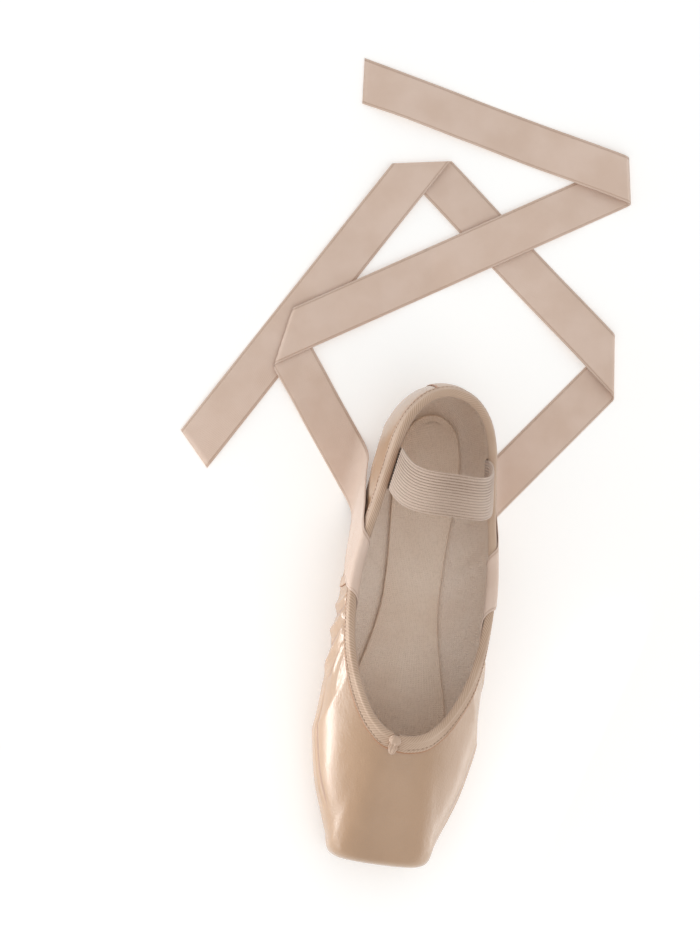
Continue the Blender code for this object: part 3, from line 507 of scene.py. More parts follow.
def relief(at, below, points):
    """How far the satin stands out from the plain skin. The listed creases and pleats are added up, with
    small puckers along the sole's edge, the binding and the side seams. None of it goes under the binding."""
    out = np.zeros(points.shape[:-1])
    for line, width, height in CREASES:
        out += height * near_line(points, line, width / 1000.0)
    for start, end, top, height in TOE_PLEATS:
        foot = float(section_depth(np.array([start]))[0][0]) * 1000.0
        line = ((start, foot + 2.0), (0.6 * start + 0.4 * end, 0.55 * foot + 0.45 * top), (end, top - 6.0))
        shade = tuple((row + 0.28, depth) for row, depth in line)
        out += height * near_line(points, line, PLEAT_HALF_WIDTH / 1000.0)
        out -= 0.6 * height * near_line(points, shade, PLEAT_HALF_WIDTH / 1000.0)
    row = own_row(at)[:, None]
    foot = section_depth(at)[0][:, None]
    run = 1000.0 * (points[..., 1] + np.sign(at)[:, None] * 0.011)
    ripple = np.sin(2.0 * np.pi * run / 4.3 + 1.7 * np.sin(run / 9.0)) + 0.6 * np.sin(2.0 * np.pi * run / 7.1)
    quarter = ease((row - 6.0) / 3.0)
    out += SOLE_PUCKER * quarter * ripple * np.exp(-np.clip(foot - below, 0.0, None) / 0.0050)
    out += BINDING_PUCKER * quarter * ripple * np.exp(-np.clip(below - BINDING_OUTSIDE, 0.0, None) / 0.0060)
    at_seam = np.exp(-(((row - SEAM_ROW) / 0.30) ** 2))
    out += SEAM_PUCKER * at_seam * np.sin(2.0 * np.pi * below / 0.0036 + 2.0 * np.sin(below / 0.004))
    return out / 1000.0 * ease((below - BINDING_OUTSIDE + 0.0005) / 0.0045)


def even_rows(depth, step):
    """Fractional rows right round the shoe, evenly spaced along the line that lies depth below the rim."""
    fine = np.linspace(0.0, 2 * LAST, 40 * LAST + 1)
    line = skin_points(fine, np.full((len(fine), 1), depth))[:, 0]
    run = run_along(line)
    count = int(run[-1] / step)
    return np.interp(np.arange(count) / count * run[-1], run, fine)


def surface(name, points, material, closed_rows=False, closed_columns=False, run=None, rise=None):
    """A smooth mesh with a quad between each four neighbours of points[i, j], facing the side from which i
    runs to the right and j up. Its UV map holds the metres run along i and along j, averaged over the piece,
    or brought to end at run and rise."""
    rows, columns = points.shape[:2]
    last_row, last_column = rows + closed_rows, columns + closed_columns
    i, j = np.meshgrid(np.arange(last_row), np.arange(last_column), indexing="ij")
    index = (i % rows) * columns + j % columns
    around = points[np.arange(last_row) % rows][:, np.arange(last_column) % columns]
    u = np.concatenate(([0.0], np.linalg.norm(np.diff(around, axis=0), axis=-1).mean(axis=1).cumsum()))
    v = np.concatenate(([0.0], np.linalg.norm(np.diff(around, axis=1), axis=-1).mean(axis=0).cumsum()))
    u, v = u * (run or u[-1]) / u[-1], v * (rise or v[-1]) / v[-1]
    uv = np.stack((u[i], v[j]), axis=-1)

    def corners(table):
        """The four values round each quad."""
        return np.stack((table[:-1, :-1], table[1:, :-1], table[1:, 1:], table[:-1, 1:]), axis=2)

    quads = corners(index).reshape(-1, 4)
    mesh = bpy.data.meshes.new(name)
    mesh.from_pydata(points.reshape(-1, 3), [], quads)
    layer = mesh.uv_layers.new(name="cloth")
    layer.data.foreach_set("uv", corners(uv).reshape(-1).astype(np.float32))
    mesh.shade_smooth()
    mesh.materials.append(material)
    made = bpy.data.objects.new(name, mesh)
    bpy.context.scene.collection.objects.link(made)
    return made


def merged(piece):
    """Joins the points that coincide at a piece's poles, and turns its faces outwards."""
    shape = bmesh.new()
    shape.from_mesh(piece.data)
    bmesh.ops.remove_doubles(shape, verts=shape.verts, dist=0.000002)
    bmesh.ops.recalc_face_normals(shape, faces=shape.faces)
    shape.to_mesh(piece.data)
    shape.free()
    return piece


def thicken(piece, thickness, offset):
    """Gives a sheet its thickness, with offset -1 inwards, 1 outwards and 0 to both sides."""
    wall = piece.modifiers.new("thickness", "SOLIDIFY")
    wall.thickness = thickness
    wall.offset = offset
    return piece


def satin_finish(name, low, high, painted_crease_shade, gloss):
    """Satin: two close tones in soft clouds, a darker warm painted shade in the hollows of its creases, fine
    threads along the shoe, a faint speckle, and a broad gloss under a tighter one."""
    made = Finish(name, low, 0.4, sheen_weight=0.10, sheen_roughness=0.45, coat_weight=1.0,
                  coat_roughness=0.27)
    made.put(made.shader, {"Coat IOR": 2.0})
    clouds = made.noise(made.place((38.0, 26.0, 38.0)), 3.0)
    threads = made.noise(made.place((1900.0, 110.0, 1900.0)), 2.0)
    speckle = made.noise(made.place((950.0, 950.0, 950.0)), 2.0)
    waves = made.noise(made.place((95.0, 60.0, 95.0)), 2.0)
    base = made.blend(made.spread(clouds, 0.36, 0.64), low, high)
    # How much painted shade in the creases' hollows each point has
    depth = made.add("Attribute", attribute_name="painted_crease_shade").outputs["Fac"]
    made.colour(made.blend(made.spread(depth, 0.05, 0.75), base, painted_crease_shade))
    rough = made.math("MULTIPLY_ADD", made.math("ADD", clouds, speckle), 0.10, gloss - 0.10)
    made.roughness(rough)
    made.bump(((waves, 0.00022), (threads, 0.00006), (speckle, 0.00008)))
    return made.material


def mark_painted_crease_shade(piece, out):
    """Keeps how deep in a crease each point of the mesh is, 0 to 1, for the material's painted crease shade.
    """
    painted_crease_shade = piece.data.attributes.new("painted_crease_shade", "FLOAT", "POINT")
    painted_crease_shade.data.foreach_set("value", np.clip(-out / HOLLOW_DEPTH, 0.0, 1.0).ravel().astype(np.float32))


satin_at = even_rows(MIDDLE_DEPTH, SATIN_STEP)
fine = np.linspace(0.0, 2 * LAST, 4001)
from_gathers = (fine - GATHERS_AT - LAST) % (2 * LAST) - LAST
counted = np.interp(fine, np.append(satin_at, 2 * LAST), np.arange(len(satin_at) + 1.0))
closeness = np.gradient(counted)
closeness *= 1.0 + GATHERS_CLOSER * np.exp(-((from_gathers / GATHERS_REACH) ** 2))
steps = closeness.cumsum() - closeness[0]
satin_at = np.interp(np.linspace(0.0, steps[-1], len(satin_at), endpoint=False), steps, fine)
satin_depth = section_depth(satin_at)[1][:, None] * np.linspace(1.0, 0.0, SATIN_ROWS)[None, :]
satin_out = relief(satin_at, satin_depth, skin_points(satin_at, satin_depth))
# The third colour is the warm painted shade in the creases' hollows
satin = satin_finish("satin", linear(173, 132, 91), linear(181, 140, 100), linear(158, 113, 77), 0.46)
satin_upper = surface("satin_upper", off_skin(satin_at, satin_depth, satin_out), satin, closed_rows=True)
mark_painted_crease_shade(satin_upper, satin_out)
thicken(satin_upper, SATIN_THICKNESS, -1.0)
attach(satin_upper, "root")
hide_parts("upper")

# The canvas lining.
# A plain cotton canvas glued inside the satin from the sole to the rim. At the toe it lies over the hardened
# paste of the box, so it stands further in there and its surface is plainer.
LINING_THICKNESS = 0.0005
LINING_STEP = 0.0016
LINING_ROWS = 48


def wall_share(at, below):
    """How much of the box's full wall a place has: none in the quarters and beside the binding, all in the
    box."""
    in_box = ease((LOWEST - own_row(at)) / (LOWEST / 2.0))[:, None]
    return in_box * ease((below - STIFF_FROM) / STIFF_RUN)


lining_at = even_rows(MIDDLE_DEPTH, LINING_STEP)
lining_depth = section_depth(lining_at)[1][:, None] * np.linspace(1.0, 0.0, LINING_ROWS)[None, :]
full = wall_share(lining_at, lining_depth)
lining_out = relief(lining_at, lining_depth, skin_points(lining_at, lining_depth)) * (1.0 - full)
lining_out = lining_out - QUARTER_WALL - (BOX_WALL - QUARTER_WALL) * full


def canvas_finish(name, low, high):
    """Plain-woven cotton: threads over and under one another, with slubs and faint soiling."""
    made = Finish(name, low, 0.9, sheen_weight=0.15)
    warp, weft = (
        made.add("TexWave", {"Vector": made.place(cloth=True), "Scale": 330.0, "Distortion": 0.6},
                 bands_direction=way).outputs[1]
        for way in "XY"
    )
    slubs = made.noise(made.place((1300.0, 700.0, 1300.0)), 3.0)
    clouds = made.noise(made.place((30.0, 30.0, 30.0)), 3.0)
    tone = made.blend(made.spread(clouds, 0.35, 0.65), low, high)
    made.colour(made.blend(made.spread(slubs, 0.40, 0.75, 0.0, 0.16), tone, linear(190, 166, 142)))
    made.bump(((made.math("ADD", warp, weft), 0.00009), (slubs, 0.00004)))
    return made.material


canvas = canvas_finish("lining", linear(246, 228, 212), linear(251, 236, 222))
lining_points = off_skin(lining_at, lining_depth, lining_out)
canvas_lining = surface("canvas_lining", lining_points[:, ::-1], canvas, closed_rows=True)
thicken(canvas_lining, LINING_THICKNESS, -1.0)
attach(canvas_lining, "root")

# The binding.
# A bias-cut twill tape folded over the rim and sewn down, with the drawstring in its roll. It runs from one
# side of the gathered end at the throat right round to the other.
TAPE = 0.0008
BINDING_INSIDE = 0.0075
ROLL_RADIUS = 0.0021
ROLL_RISE = 0.0009
GATHER_OFFSET = 0.0049
GATHER_WIDTH = 0.0040
BINDING_STEP = 0.00033
RIB_PITCH = 0.0015
RIB_HEIGHT = 0.00015
STITCH_INSET = 0.0017
STITCH_GAP = 0.0021
STITCH_SIZE = (0.0013, 0.00050, 0.00036)
STITCH_PULL = 0.00030
EDGE_ROUND = 0.0001


def row_at(quantity, wanted):
    """The fractional row of one side at which the rim's half width or station reaches a wanted value."""
    rows = np.linspace(0.0, LAST, 40 * LAST + 1)
    rim = section_corners(rows)[-1]
    values = rim[:, 0] if quantity == "rim width" else rim[:, 1] + LENGTH / 2.0
    return float(np.interp(wanted, np.maximum.accumulate(values), rows))


def binding_profile():
    """The tape's outline across itself, as depths below the rim and distances out: up the outside from its
    lower edge, round the roll, down the inside and back along the skin."""
    outside, inside = TAPE + CLEARANCE, QUARTER_WALL + CLEARANCE
    roll = np.radians(np.linspace(-20.0, 200.0, 15))
    below = np.concatenate((
        [BINDING_OUTSIDE - EDGE_ROUND, BINDING_OUTSIDE + EDGE_ROUND, BINDING_OUTSIDE - EDGE_ROUND],
        BINDING_OUTSIDE * np.linspace(0.94, 0.05, 15),
        -ROLL_RISE - ROLL_RADIUS * np.sin(roll),
        BINDING_INSIDE * np.linspace(0.15, 1.0, 9),
        [BINDING_INSIDE, -CLEARANCE, -CLEARANCE],
        BINDING_OUTSIDE * np.array((0.33, 0.66)),
    ))
    out = np.concatenate((
        [CLEARANCE, CLEARANCE + TAPE / 2.0, outside - EDGE_ROUND],
        np.full(15, outside),
        -QUARTER_WALL / 2.0 + ROLL_RADIUS * np.cos(roll),
        np.full(9, -inside - TAPE),
        [-inside, -inside, CLEARANCE],
        [CLEARANCE, CLEARANCE],
    ))
    return below, out


def capped(points):
    """A closed tube of rings points[i, j], with each end drawn in to its middle."""
    def cap(ring):
        """Rings that grow from a ring's middle out to nearly its full size."""
        middle = ring.mean(axis=0)
        return np.stack([middle + (ring - middle) * share for share in (0.0, 0.4, 0.85)])

    return np.concatenate((cap(points[0]), points, cap(points[-1])[::-1]), axis=0)


binding_below, binding_out = binding_profile()
end_gap = GATHER_WIDTH / 2.0 - 0.0007
binding_first = -row_at("rim width", GATHER_OFFSET - end_gap)
binding_last = 2 * LAST - row_at("rim width", GATHER_OFFSET + end_gap)
binding_at = even_rows(0.0, BINDING_STEP)
binding_at = binding_at[binding_at < binding_last - 0.05]
binding_at = np.concatenate(([binding_first, binding_first / 2.0], binding_at, [binding_last]))
rim_line = skin_points(binding_at, np.zeros((len(binding_at), 1)))[:, 0]
rim_run = run_along(rim_line)
across = np.concatenate(([0.0], np.hypot(np.diff(binding_below), np.diff(binding_out)).cumsum()))
rib_phase = 2.0 * np.pi * (rim_run[:, None] - across[None, :]) / RIB_PITCH
ribs = RIB_HEIGHT * (0.6 + 0.4 * np.cos(rib_phase + 0.5 * np.sin(rim_run[:, None] / 0.007)))
wander = 0.00025 * np.sin(rim_run / 0.011) + 0.00015 * np.sin(rim_run / 0.0043)
above_edge = np.where(binding_out > 0.0, BINDING_OUTSIDE - binding_below, 1.0)[None, :]
from_seam = above_edge - STITCH_INSET - wander[:, None]
ribs -= STITCH_PULL * np.exp(-((from_seam / 0.00040) ** 2))
ribs += 0.00010 * np.sin(rim_run / 0.0061)[:, None] * np.sin(across / 0.004)[None, :]
tangent = np.stack((np.gradient(binding_below), np.gradient(binding_out)), axis=-1)
tangent /= np.linalg.norm(tangent, axis=-1, keepdims=True)
showing = np.where((np.arange(len(across)) > 2) & (np.arange(len(across)) < 42), 1.0, 0.0)
ribs = (ribs - 0.5 * RIB_HEIGHT) * showing[None, :]
ribbed_below = binding_below[None, :] + ribs * tangent[None, :, 1]
ribbed_out = binding_out[None, :] - ribs * tangent[None, :, 0]
binding_points = off_skin(binding_at, ribbed_below, ribbed_out)


def twill_finish(name, low, high, edge, contrast):
    """Cotton twill: ribs in two close tones, fuzz, and a warm painted shade along its sewn-down lower edge.
    """
    made = Finish(name, low, 0.72, sheen_weight=0.35, sheen_roughness=0.5)
    run, up, _ = made.add("SeparateXYZ", {0: made.place(cloth=True)}).outputs
    slanting = made.math("SUBTRACT", run, up)
    rib = made.math("COSINE", made.math("MULTIPLY", slanting, 2.0 * math.pi / RIB_PITCH))
    fibres = made.noise(made.place((1700.0, 1700.0, 1700.0)), 2.0)
    clouds = made.noise(made.place((60.0, 60.0, 60.0)), 2.0)
    share = made.math("MULTIPLY_ADD", rib, contrast, made.math("MULTIPLY", clouds, 2.0))
    tone = made.blend(made.spread(share, 0.0, 2.0), low, high)
    # A warm painted shade along the tape's lower edge, where it meets the satin
    painted_edge_shade = made.spread(up, 0.0011, 0.0017, 1.0, 0.0)
    made.colour(made.blend(painted_edge_shade, tone, edge))
    made.bump(((fibres, 0.00007),))
    return made.material


# The third colour is the painted shade along the tape's lower edge
twill = twill_finish("binding_tape", linear(182, 151, 126), linear(208, 181, 158), linear(172, 116, 74), 0.7)
binding_tape = merged(surface("binding_tape", capped(binding_points), twill, closed_columns=True))
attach(binding_tape, "root")
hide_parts("binding")


def stitches(name, spots, along, out, size, material):
    """A row of stitches: at each spot a small egg, size long, wide and high, that points along and stands
    out. Its points are the sines and cosines of its latitude and longitude, times half its size."""
    lat = np.radians(np.linspace(-90.0, 90.0, 7))[None, :, None]
    lon = np.radians(np.linspace(0.0, 360.0, 9)[:-1])[:, None, None]
    along = along / np.linalg.norm(along, axis=-1, keepdims=True)
    out = out / np.linalg.norm(out, axis=-1, keepdims=True)
    across = np.cross(out, along)
    parts = (np.sin(lat) * size[0] / 2.0, np.cos(lat) * np.cos(lon) * size[1] / 2.0,
             np.cos(lat) * np.sin(lon) * size[2] / 2.0)
    eggs = spots[:, None, None] + sum(
        part[None] * way[:, None, None] for part, way in zip(parts, (along, across, out)))
    count, rings, steps = eggs.shape[:3]
    index = np.arange(count * rings * steps).reshape(count, rings, steps)
    index = np.concatenate((index, index[:, :1]), axis=1)
    quads = np.stack((index[:, :-1, :-1], index[:, 1:, :-1], index[:, 1:, 1:], index[:, :-1, 1:]), axis=-1)
    mesh = bpy.data.meshes.new(name)
    mesh.from_pydata(eggs.reshape(-1, 3), [], quads.reshape(-1, 4))
    mesh.shade_smooth()
    mesh.materials.append(material)
    made = bpy.data.objects.new(name, mesh)
    bpy.context.scene.collection.objects.link(made)
    return merged(made)


def thread_finish(name, colour, dark):
    """Sewing thread: a fine twist in two close tones."""
    made = Finish(name, colour, 0.6, sheen_weight=0.2)
    twist = made.noise(made.place((2600.0, 2600.0, 2600.0)), 1.0)
    made.colour(made.blend(made.spread(twist, 0.4, 0.65), colour, dark))
    made.bump(((twist, 0.00005),))
    return made.material


pale_thread = thread_finish("pale_thread", linear(214, 192, 172), linear(186, 160, 136))
# The binding's thread is darker than the pale thread: its own colour with the shade of its stitch holes
# painted in
sewing_thread_with_painted_shade = thread_finish("sewing_thread_with_painted_shade", linear(180, 150, 126), linear(148, 118, 94))
stitch_run = np.arange(rim_run[3] + 0.002, rim_run[-1] - 0.003, STITCH_GAP)
stitch_at = np.interp(stitch_run, rim_run, binding_at)
stitch_below = BINDING_OUTSIDE - STITCH_INSET - np.interp(stitch_run, rim_run, wander)
stitch_low = off_skin(stitch_at, stitch_below[:, None], TAPE + CLEARANCE - 0.00002)[:, 0]
stitch_high = off_skin(stitch_at, stitch_below[:, None], 2.0 * TAPE)[:, 0]
binding_stitches = stitches("binding_stitches", stitch_low, np.gradient(stitch_low, axis=0),
                            stitch_high - stitch_low, STITCH_SIZE, sewing_thread_with_painted_shade)
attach(binding_stitches, "root")

# The gathered end of the tape.
# At the throat the drawstring draws the tape's end up into a small pleated bunch. It is the same cotton twill
# as the binding, and stands between the binding's two ends, left of the middle.
GATHER_LENGTH = 0.0098
GATHER_HEIGHT = 0.0040
PLEATS = 9
PLEAT_DEPTH = 0.15


def gather_points():
    """An upright egg whose waist swells in PLEATS soft pleats: the radius is 1 plus PLEAT_DEPTH times the
    cosine of PLEATS times the angle."""
    middle = -row_at("rim width", GATHER_OFFSET)
    down = GATHER_LENGTH / 2.0 - ROLL_RADIUS - ROLL_RISE
    spot = off_skin(np.array([middle]), [[down]], [[CLEARANCE + GATHER_HEIGHT / 2.0]])[0, 0]

    def skin_spot(at, below):
        """One point of the skin."""
        return off_skin([at], [[below]], [[0.0]])[0, 0]

    along = skin_spot(middle + AT_NUDGE, down) - skin_spot(middle - AT_NUDGE, down)
    up = skin_spot(middle, down - DEPTH_NUDGE) - skin_spot(middle, down + DEPTH_NUDGE)
    along /= np.linalg.norm(along)
    up /= np.linalg.norm(up)
    proud = np.cross(along, up)
    lat = np.radians(np.linspace(-90.0, 90.0, 65))[None, :, None]
    lon = np.radians(np.linspace(0.0, 360.0, 145)[:-1])[:, None, None]
    blunt = np.cos(lat).clip(0.0) ** 0.62
    lower = 1.0 - 0.7 * ease((np.sin(lat) - 0.1) / 0.4)
    folds = np.cos(PLEATS * lon + 1.2 * lat + 0.6 * np.sin(2.0 * lon))
    pleat = 1.0 + PLEAT_DEPTH * lower * np.cos(lat) * folds
    waist = np.exp(-(((np.sin(lat) - 0.02) / 0.22) ** 2))
    round_top = 0.40 * ease((np.sin(lat) - 0.05) / 0.45)
    pleat = pleat * (1.0 + round_top - 0.22 * waist - 0.15 * ease(-np.sin(lat) / 0.9))
    half_width = (GATHER_WIDTH / 2.0 + 0.0005) / (1.0 + 0.5 * PLEAT_DEPTH)
    return (
        spot
        + blunt * np.cos(lon) * pleat * half_width * along
        + blunt * np.sin(lon) * pleat * GATHER_HEIGHT / 2.0 * proud
        + np.sin(lat) * GATHER_LENGTH / 2.0 * up
    )


# The third colour is the painted shade along the tape's lower edge
gathered_twill = twill_finish("gathered_twill", linear(186, 156, 132), linear(208, 180, 158),
                              linear(196, 166, 142), 0.0)
gathered_end = merged(surface("gathered_end", gather_points(), gathered_twill, closed_rows=True))
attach(gathered_end, "root")
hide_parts("casing_gather")

# The heel strip and the side seams.
# A narrow strip of the same satin covers the seam at the back. On each side a lapped seam joins vamp and
# quarters, sewn down along both its edges with a pale thread.
STRIP_THICKNESS = 0.0006
LAP_THICKNESS = 0.00035
HEEL_STRIP_WIDTH = 0.0160
SIDE_SEAM_WIDTH = 0.0050
SIDE_SEAM_PLACE = 0.1350
STRIP_OFF_SATIN = 0.0001
HEEL_CROWN = 0.0003
HEEL_POINTS = (34, 80)
LAP_CROWN = 0.00012
LAP_POINTS = (16, 90)
LAP_STITCH_GAP = 0.0022
LAP_STITCH_SIZE = (0.0014, 0.00040, 0.00036)
# The stitch rows: each one's name and the column of the lap's points that it follows
LAP_STITCH_ROWS = (("front", 2), ("back", 13))


def strip(name, first, last, counts, material, crown, width):
    """A strip on the skin between two rows, from beside the sole to the binding's lower edge, standing out by
    crown at its middle and rounding down to its edges. counts are its points across and along."""
    columns, rows = counts
    at = np.linspace(first, last, columns)
    bottom = section_depth(at)[0][:, None] - STRIP_THICKNESS - CLEARANCE
    top = BINDING_OUTSIDE + CLEARANCE
    below = bottom + (top - bottom) * np.linspace(0.0, 1.0, rows)[None, :]
    out = relief(at, below, skin_points(at, below)) + STRIP_OFF_SATIN
    round_off = 1.0 - np.abs(np.linspace(-1.0, 1.0, columns)) ** 8
    out = out + crown * round_off[:, None]
    made = surface(name, off_skin(at, below, out), material, run=width)
    return thicken(made, LAP_THICKNESS, 1.0), at, below, out


def strip_finish(name, low, high, edge, width, edge_shade_width, gloss):
    """The same satin cut across its threads, duller, with a warm painted shade along both edges, where the
    seam meets the satin.
    """
    made = Finish(name, low, gloss, sheen_weight=0.35, sheen_roughness=0.4, coat_weight=0.10,
                  coat_roughness=0.4)
    run, _, _ = made.add("SeparateXYZ", {0: made.place(cloth=True)}).outputs
    from_edge = made.math("MINIMUM", run, made.math("SUBTRACT", width, run))
    clouds = made.noise(made.place((60.0, 60.0, 40.0)), 3.0)
    threads = made.noise(made.place((240.0, 2300.0, 240.0)), 2.0)
    tone = made.blend(made.spread(clouds, 0.36, 0.64), low, high)
    # A warm painted shade along both edges, where the strip meets the satin
    made.colour(made.blend(made.spread(from_edge, 0.3 * edge_shade_width, edge_shade_width, 1.0, 0.0), tone, edge))
    made.bump(((clouds, 0.00030), (threads, 0.00005)))
    return made.material


strip_rows = np.linspace(LAST - 2.0, LAST, 81)
widest_x = section_corners(strip_rows)[3][:, 0]
half_strip = LAST - float(np.interp(-HEEL_STRIP_WIDTH / 2.0, -widest_x, strip_rows))
# The third colour is the painted shade along the strip's edges
heel_satin = strip_finish("heel_satin", linear(190, 160, 135), linear(200, 171, 147), linear(176, 112, 66),
                          HEEL_STRIP_WIDTH, 0.0011, 0.5)
heel, *_ = strip("heel_strip_satin", LAST - half_strip, LAST + half_strip, HEEL_POINTS, heel_satin,
                 HEEL_CROWN, HEEL_STRIP_WIDTH)
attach(heel, "root")
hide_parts("heel_strip")

places = np.linspace(0.0, LAST, 40 * LAST + 1)
seam_rows = np.interp((SIDE_SEAM_PLACE - SIDE_SEAM_WIDTH / 2.0, SIDE_SEAM_PLACE + SIDE_SEAM_WIDTH / 2.0),
                      column("place", places) * LENGTH, places)
# The third colour is the painted shade along the lap's edges
seam_satin = strip_finish("seam_satin", linear(184, 152, 125), linear(198, 168, 144), linear(178, 122, 80),
                          SIDE_SEAM_WIDTH, 0.0004, 0.42)
for name, side in (("side_seam_left", -1.0), ("side_seam_right", 1.0)):
    first, last = sorted(side * seam_rows)
    seam, seam_at, seam_below, seam_out = strip(name + "_lap", first, last, LAP_POINTS, seam_satin,
                                                LAP_CROWN, SIDE_SEAM_WIDTH)
    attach(seam, "root")
    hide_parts(name)
    depths = np.arange(BINDING_OUTSIDE + 0.0015, float(seam_below.max()) - 0.002, LAP_STITCH_GAP)
    for edge, column_number in LAP_STITCH_ROWS:
        row_here = np.full(len(depths), seam_at[column_number])
        stand = np.interp(depths, seam_below[column_number][::-1], seam_out[column_number][::-1])
        low = off_skin(row_here, depths[:, None], stand[:, None] + LAP_THICKNESS - 0.00006)[:, 0]
        high = off_skin(row_here, depths[:, None], stand[:, None] + 0.002)[:, 0]
        row_of_stitches = stitches(f"{name}_stitches_{edge}", low, np.gradient(low, axis=0), high - low,
                                   LAP_STITCH_SIZE, pale_thread)
        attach(row_of_stitches, "root")

# The outsole.
# One piece of thick tan leather with a dark burnished edge and a diamond hatch pressed into its forepart. A
# waxed thread is sewn through it all round, in a shallow channel near the edge.
CHANNEL_INSET = 0.0030
CHANNEL_HALF_WIDTH = 0.0006
CHANNEL_DEPTH = 0.00045
SOLE_STITCH_GAP = 0.0042
SOLE_STITCH_SIZE = (0.0030, 0.0007, 0.0006)
AWL_HOLE_SIZE = (0.0012, 0.0011, 0.0003)
BURNT_FROM = 0.0004
BURNT_RUN = 0.0011
HATCH_PITCH = 0.0030
# Where the hatch fades in at the front and out at the back, and how its half width grows from its tip
HATCH_FRONT = (-0.0975, -0.0950)
HATCH_BACK = (-0.0330, -0.0290)
HATCH_TIP = (-0.105, -0.085)
HATCH_HALF_WIDTHS = (0.0120, 0.0225)


def outline_plate(name, insets, lifts, under, thickness, material):
    """A plate of rings that go in from the outline by insets and then on to the middle line, under the plate
    and back over its top. lifts raises each of the under rings, and lowers the top's first three."""
    at = np.linspace(0.0, 2 * LAST, 20 * LAST, endpoint=False)
    insets, lifts = np.array(insets), np.array(lifts)
    edge = np.stack([inside_sole_edge(at, inset) for inset in insets], axis=1)
    last_ring = edge[:, -1]
    shares = np.linspace(0.9, 0.0, 9)
    inner = last_ring[:, None] * np.stack((shares, np.ones(9)), axis=-1)[None]
    ring = np.concatenate((inner[:, ::-1], edge[:, ::-1]), axis=1)
    raised = np.concatenate((np.full(9, lifts[-1]), lifts[::-1]))
    bottom_z = under(ring[..., 1]) + raised
    bottom = np.concatenate((ring, bottom_z[..., None]), axis=-1)
    top_ring = np.concatenate((edge[:, :3], inner), axis=1)
    lowered = np.concatenate((lifts[:3], np.zeros(9)))
    top_z = under(top_ring[..., 1]) + thickness - lowered
    top = np.concatenate((top_ring, top_z[..., None]), axis=-1)
    return merged(surface(name, np.concatenate((bottom, top), axis=1), material, closed_rows=True))


def leather_finish():
    """Bark-tanned leather: grain and pores, darker and smoother on its edge, with pressed diamond lines."""
    made = Finish("sole_leather", linear(172, 130, 92), 0.6, sheen_weight=0.0, coat_weight=0.08,
                  coat_roughness=0.4)
    x, y, _ = made.add("SeparateXYZ", {0: made.add("TexCoord").outputs["Object"]}).outputs
    grain = made.noise(made.place((900.0, 900.0, 900.0)), 4.0, 0.65)
    clouds = made.noise(made.place((26.0, 14.0, 26.0)), 4.0, 0.6)
    fibres = made.noise(made.place((1500.0, 300.0, 600.0)), 3.0)

    def lines(turn):
        """Pressed lines a hatch pitch apart, square to a turn from the X axis, and a little uneven."""
        along_x = made.math("MULTIPLY", x, math.cos(turn))
        way = made.math("ADD", along_x, made.math("MULTIPLY", y, math.sin(turn)))
        way = made.math("ADD", way, made.math("MULTIPLY", clouds, 0.0006))
        from_line = made.math("PINGPONG", way, HATCH_PITCH / 2.0)
        return made.spread(from_line, 0.00010, 0.00038, 1.0, 0.0)

    hatch = made.math("MAXIMUM", lines(math.radians(28.0)), lines(math.radians(152.0)))
    behind_front = made.spread(y, *HATCH_FRONT)
    where = made.math("MULTIPLY", behind_front, made.spread(y, *HATCH_BACK, 1.0, 0.0))
    half = made.math("ABSOLUTE", x)
    tip = made.spread(y, *HATCH_TIP, *HATCH_HALF_WIDTHS)
    past_side = made.math("SUBTRACT", half, tip)
    where = made.math("MULTIPLY", where, made.spread(past_side, -0.0004, 0.0004, 1.0, 0.0))
    hatch = made.math("MULTIPLY", hatch, where)
    tone = made.blend(made.spread(clouds, 0.32, 0.68), linear(200, 158, 116), linear(222, 185, 146))
    tone = made.blend(made.spread(grain, 0.44, 0.66, 0.0, 0.45), tone, linear(164, 120, 80))
    tone = made.blend(made.math("MULTIPLY", hatch, 0.70), tone, linear(112, 70, 38))
    burnt = made.add("Attribute", attribute_name="edge").outputs["Fac"]
    made.colour(made.blend(burnt, tone, linear(92, 52, 24)))
    made.roughness(made.spread(burnt, 0.0, 1.0, 0.62, 0.42))
    made.bump(((hatch, -0.00022), (grain, 0.00012), (fibres, 0.00004)))
    return made.material


sole_insets = (
    0.0, 0.00025, 0.0007, 0.0013, 0.0020,
    CHANNEL_INSET - CHANNEL_HALF_WIDTH, CHANNEL_INSET - 0.0003, CHANNEL_INSET, CHANNEL_INSET + 0.0003,
    CHANNEL_INSET + CHANNEL_HALF_WIDTH, 0.0042, 0.0052,
)
sole_lifts = (
    0.0008, 0.0003, 0.0001, 0.0, 0.0,
    0.0, 0.8 * CHANNEL_DEPTH, CHANNEL_DEPTH, 0.8 * CHANNEL_DEPTH,
    0.0, 0.0, 0.0,
)
leather_sole = outline_plate("leather_sole", sole_insets, sole_lifts, sole_bottom, SOLE_THICKNESS,
                             leather_finish())
spots = np.empty(3 * len(leather_sole.data.vertices))
leather_sole.data.vertices.foreach_get("co", spots)
spots = spots.reshape(-1, 3)
outline = sole_edge(np.linspace(0.0, 2 * LAST, 20 * LAST, endpoint=False))
inside_by = np.linalg.norm(outline[None] - spots[:, None, :2], axis=-1).min(axis=1)
burnished = 1.0 - ease((inside_by - BURNT_FROM) / BURNT_RUN)
burnished = np.maximum(burnished, np.exp(-(((inside_by - CHANNEL_INSET) / CHANNEL_HALF_WIDTH) ** 2)) * 0.35)
edge_layer = leather_sole.data.attributes.new("edge", "FLOAT", "POINT")
edge_layer.data.foreach_set("value", burnished.astype(np.float32))
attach(leather_sole, "root")
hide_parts("outsole")

seam_at_sole = np.linspace(0.0, 2 * LAST, 40 * LAST + 1)
seam_line_points = inside_sole_edge(seam_at_sole, CHANNEL_INSET)
seam_run = run_along(seam_line_points)
stitch_count = int(seam_run[-1] / SOLE_STITCH_GAP)


def on_seam(share):
    """Places in the channel, for shares of the way round it."""
    run = share * seam_run[-1]
    x, y = (np.interp(run, seam_run, values) for values in seam_line_points.T)
    return np.stack((x, y, sole_bottom(y) + 0.55 * CHANNEL_DEPTH), axis=-1)


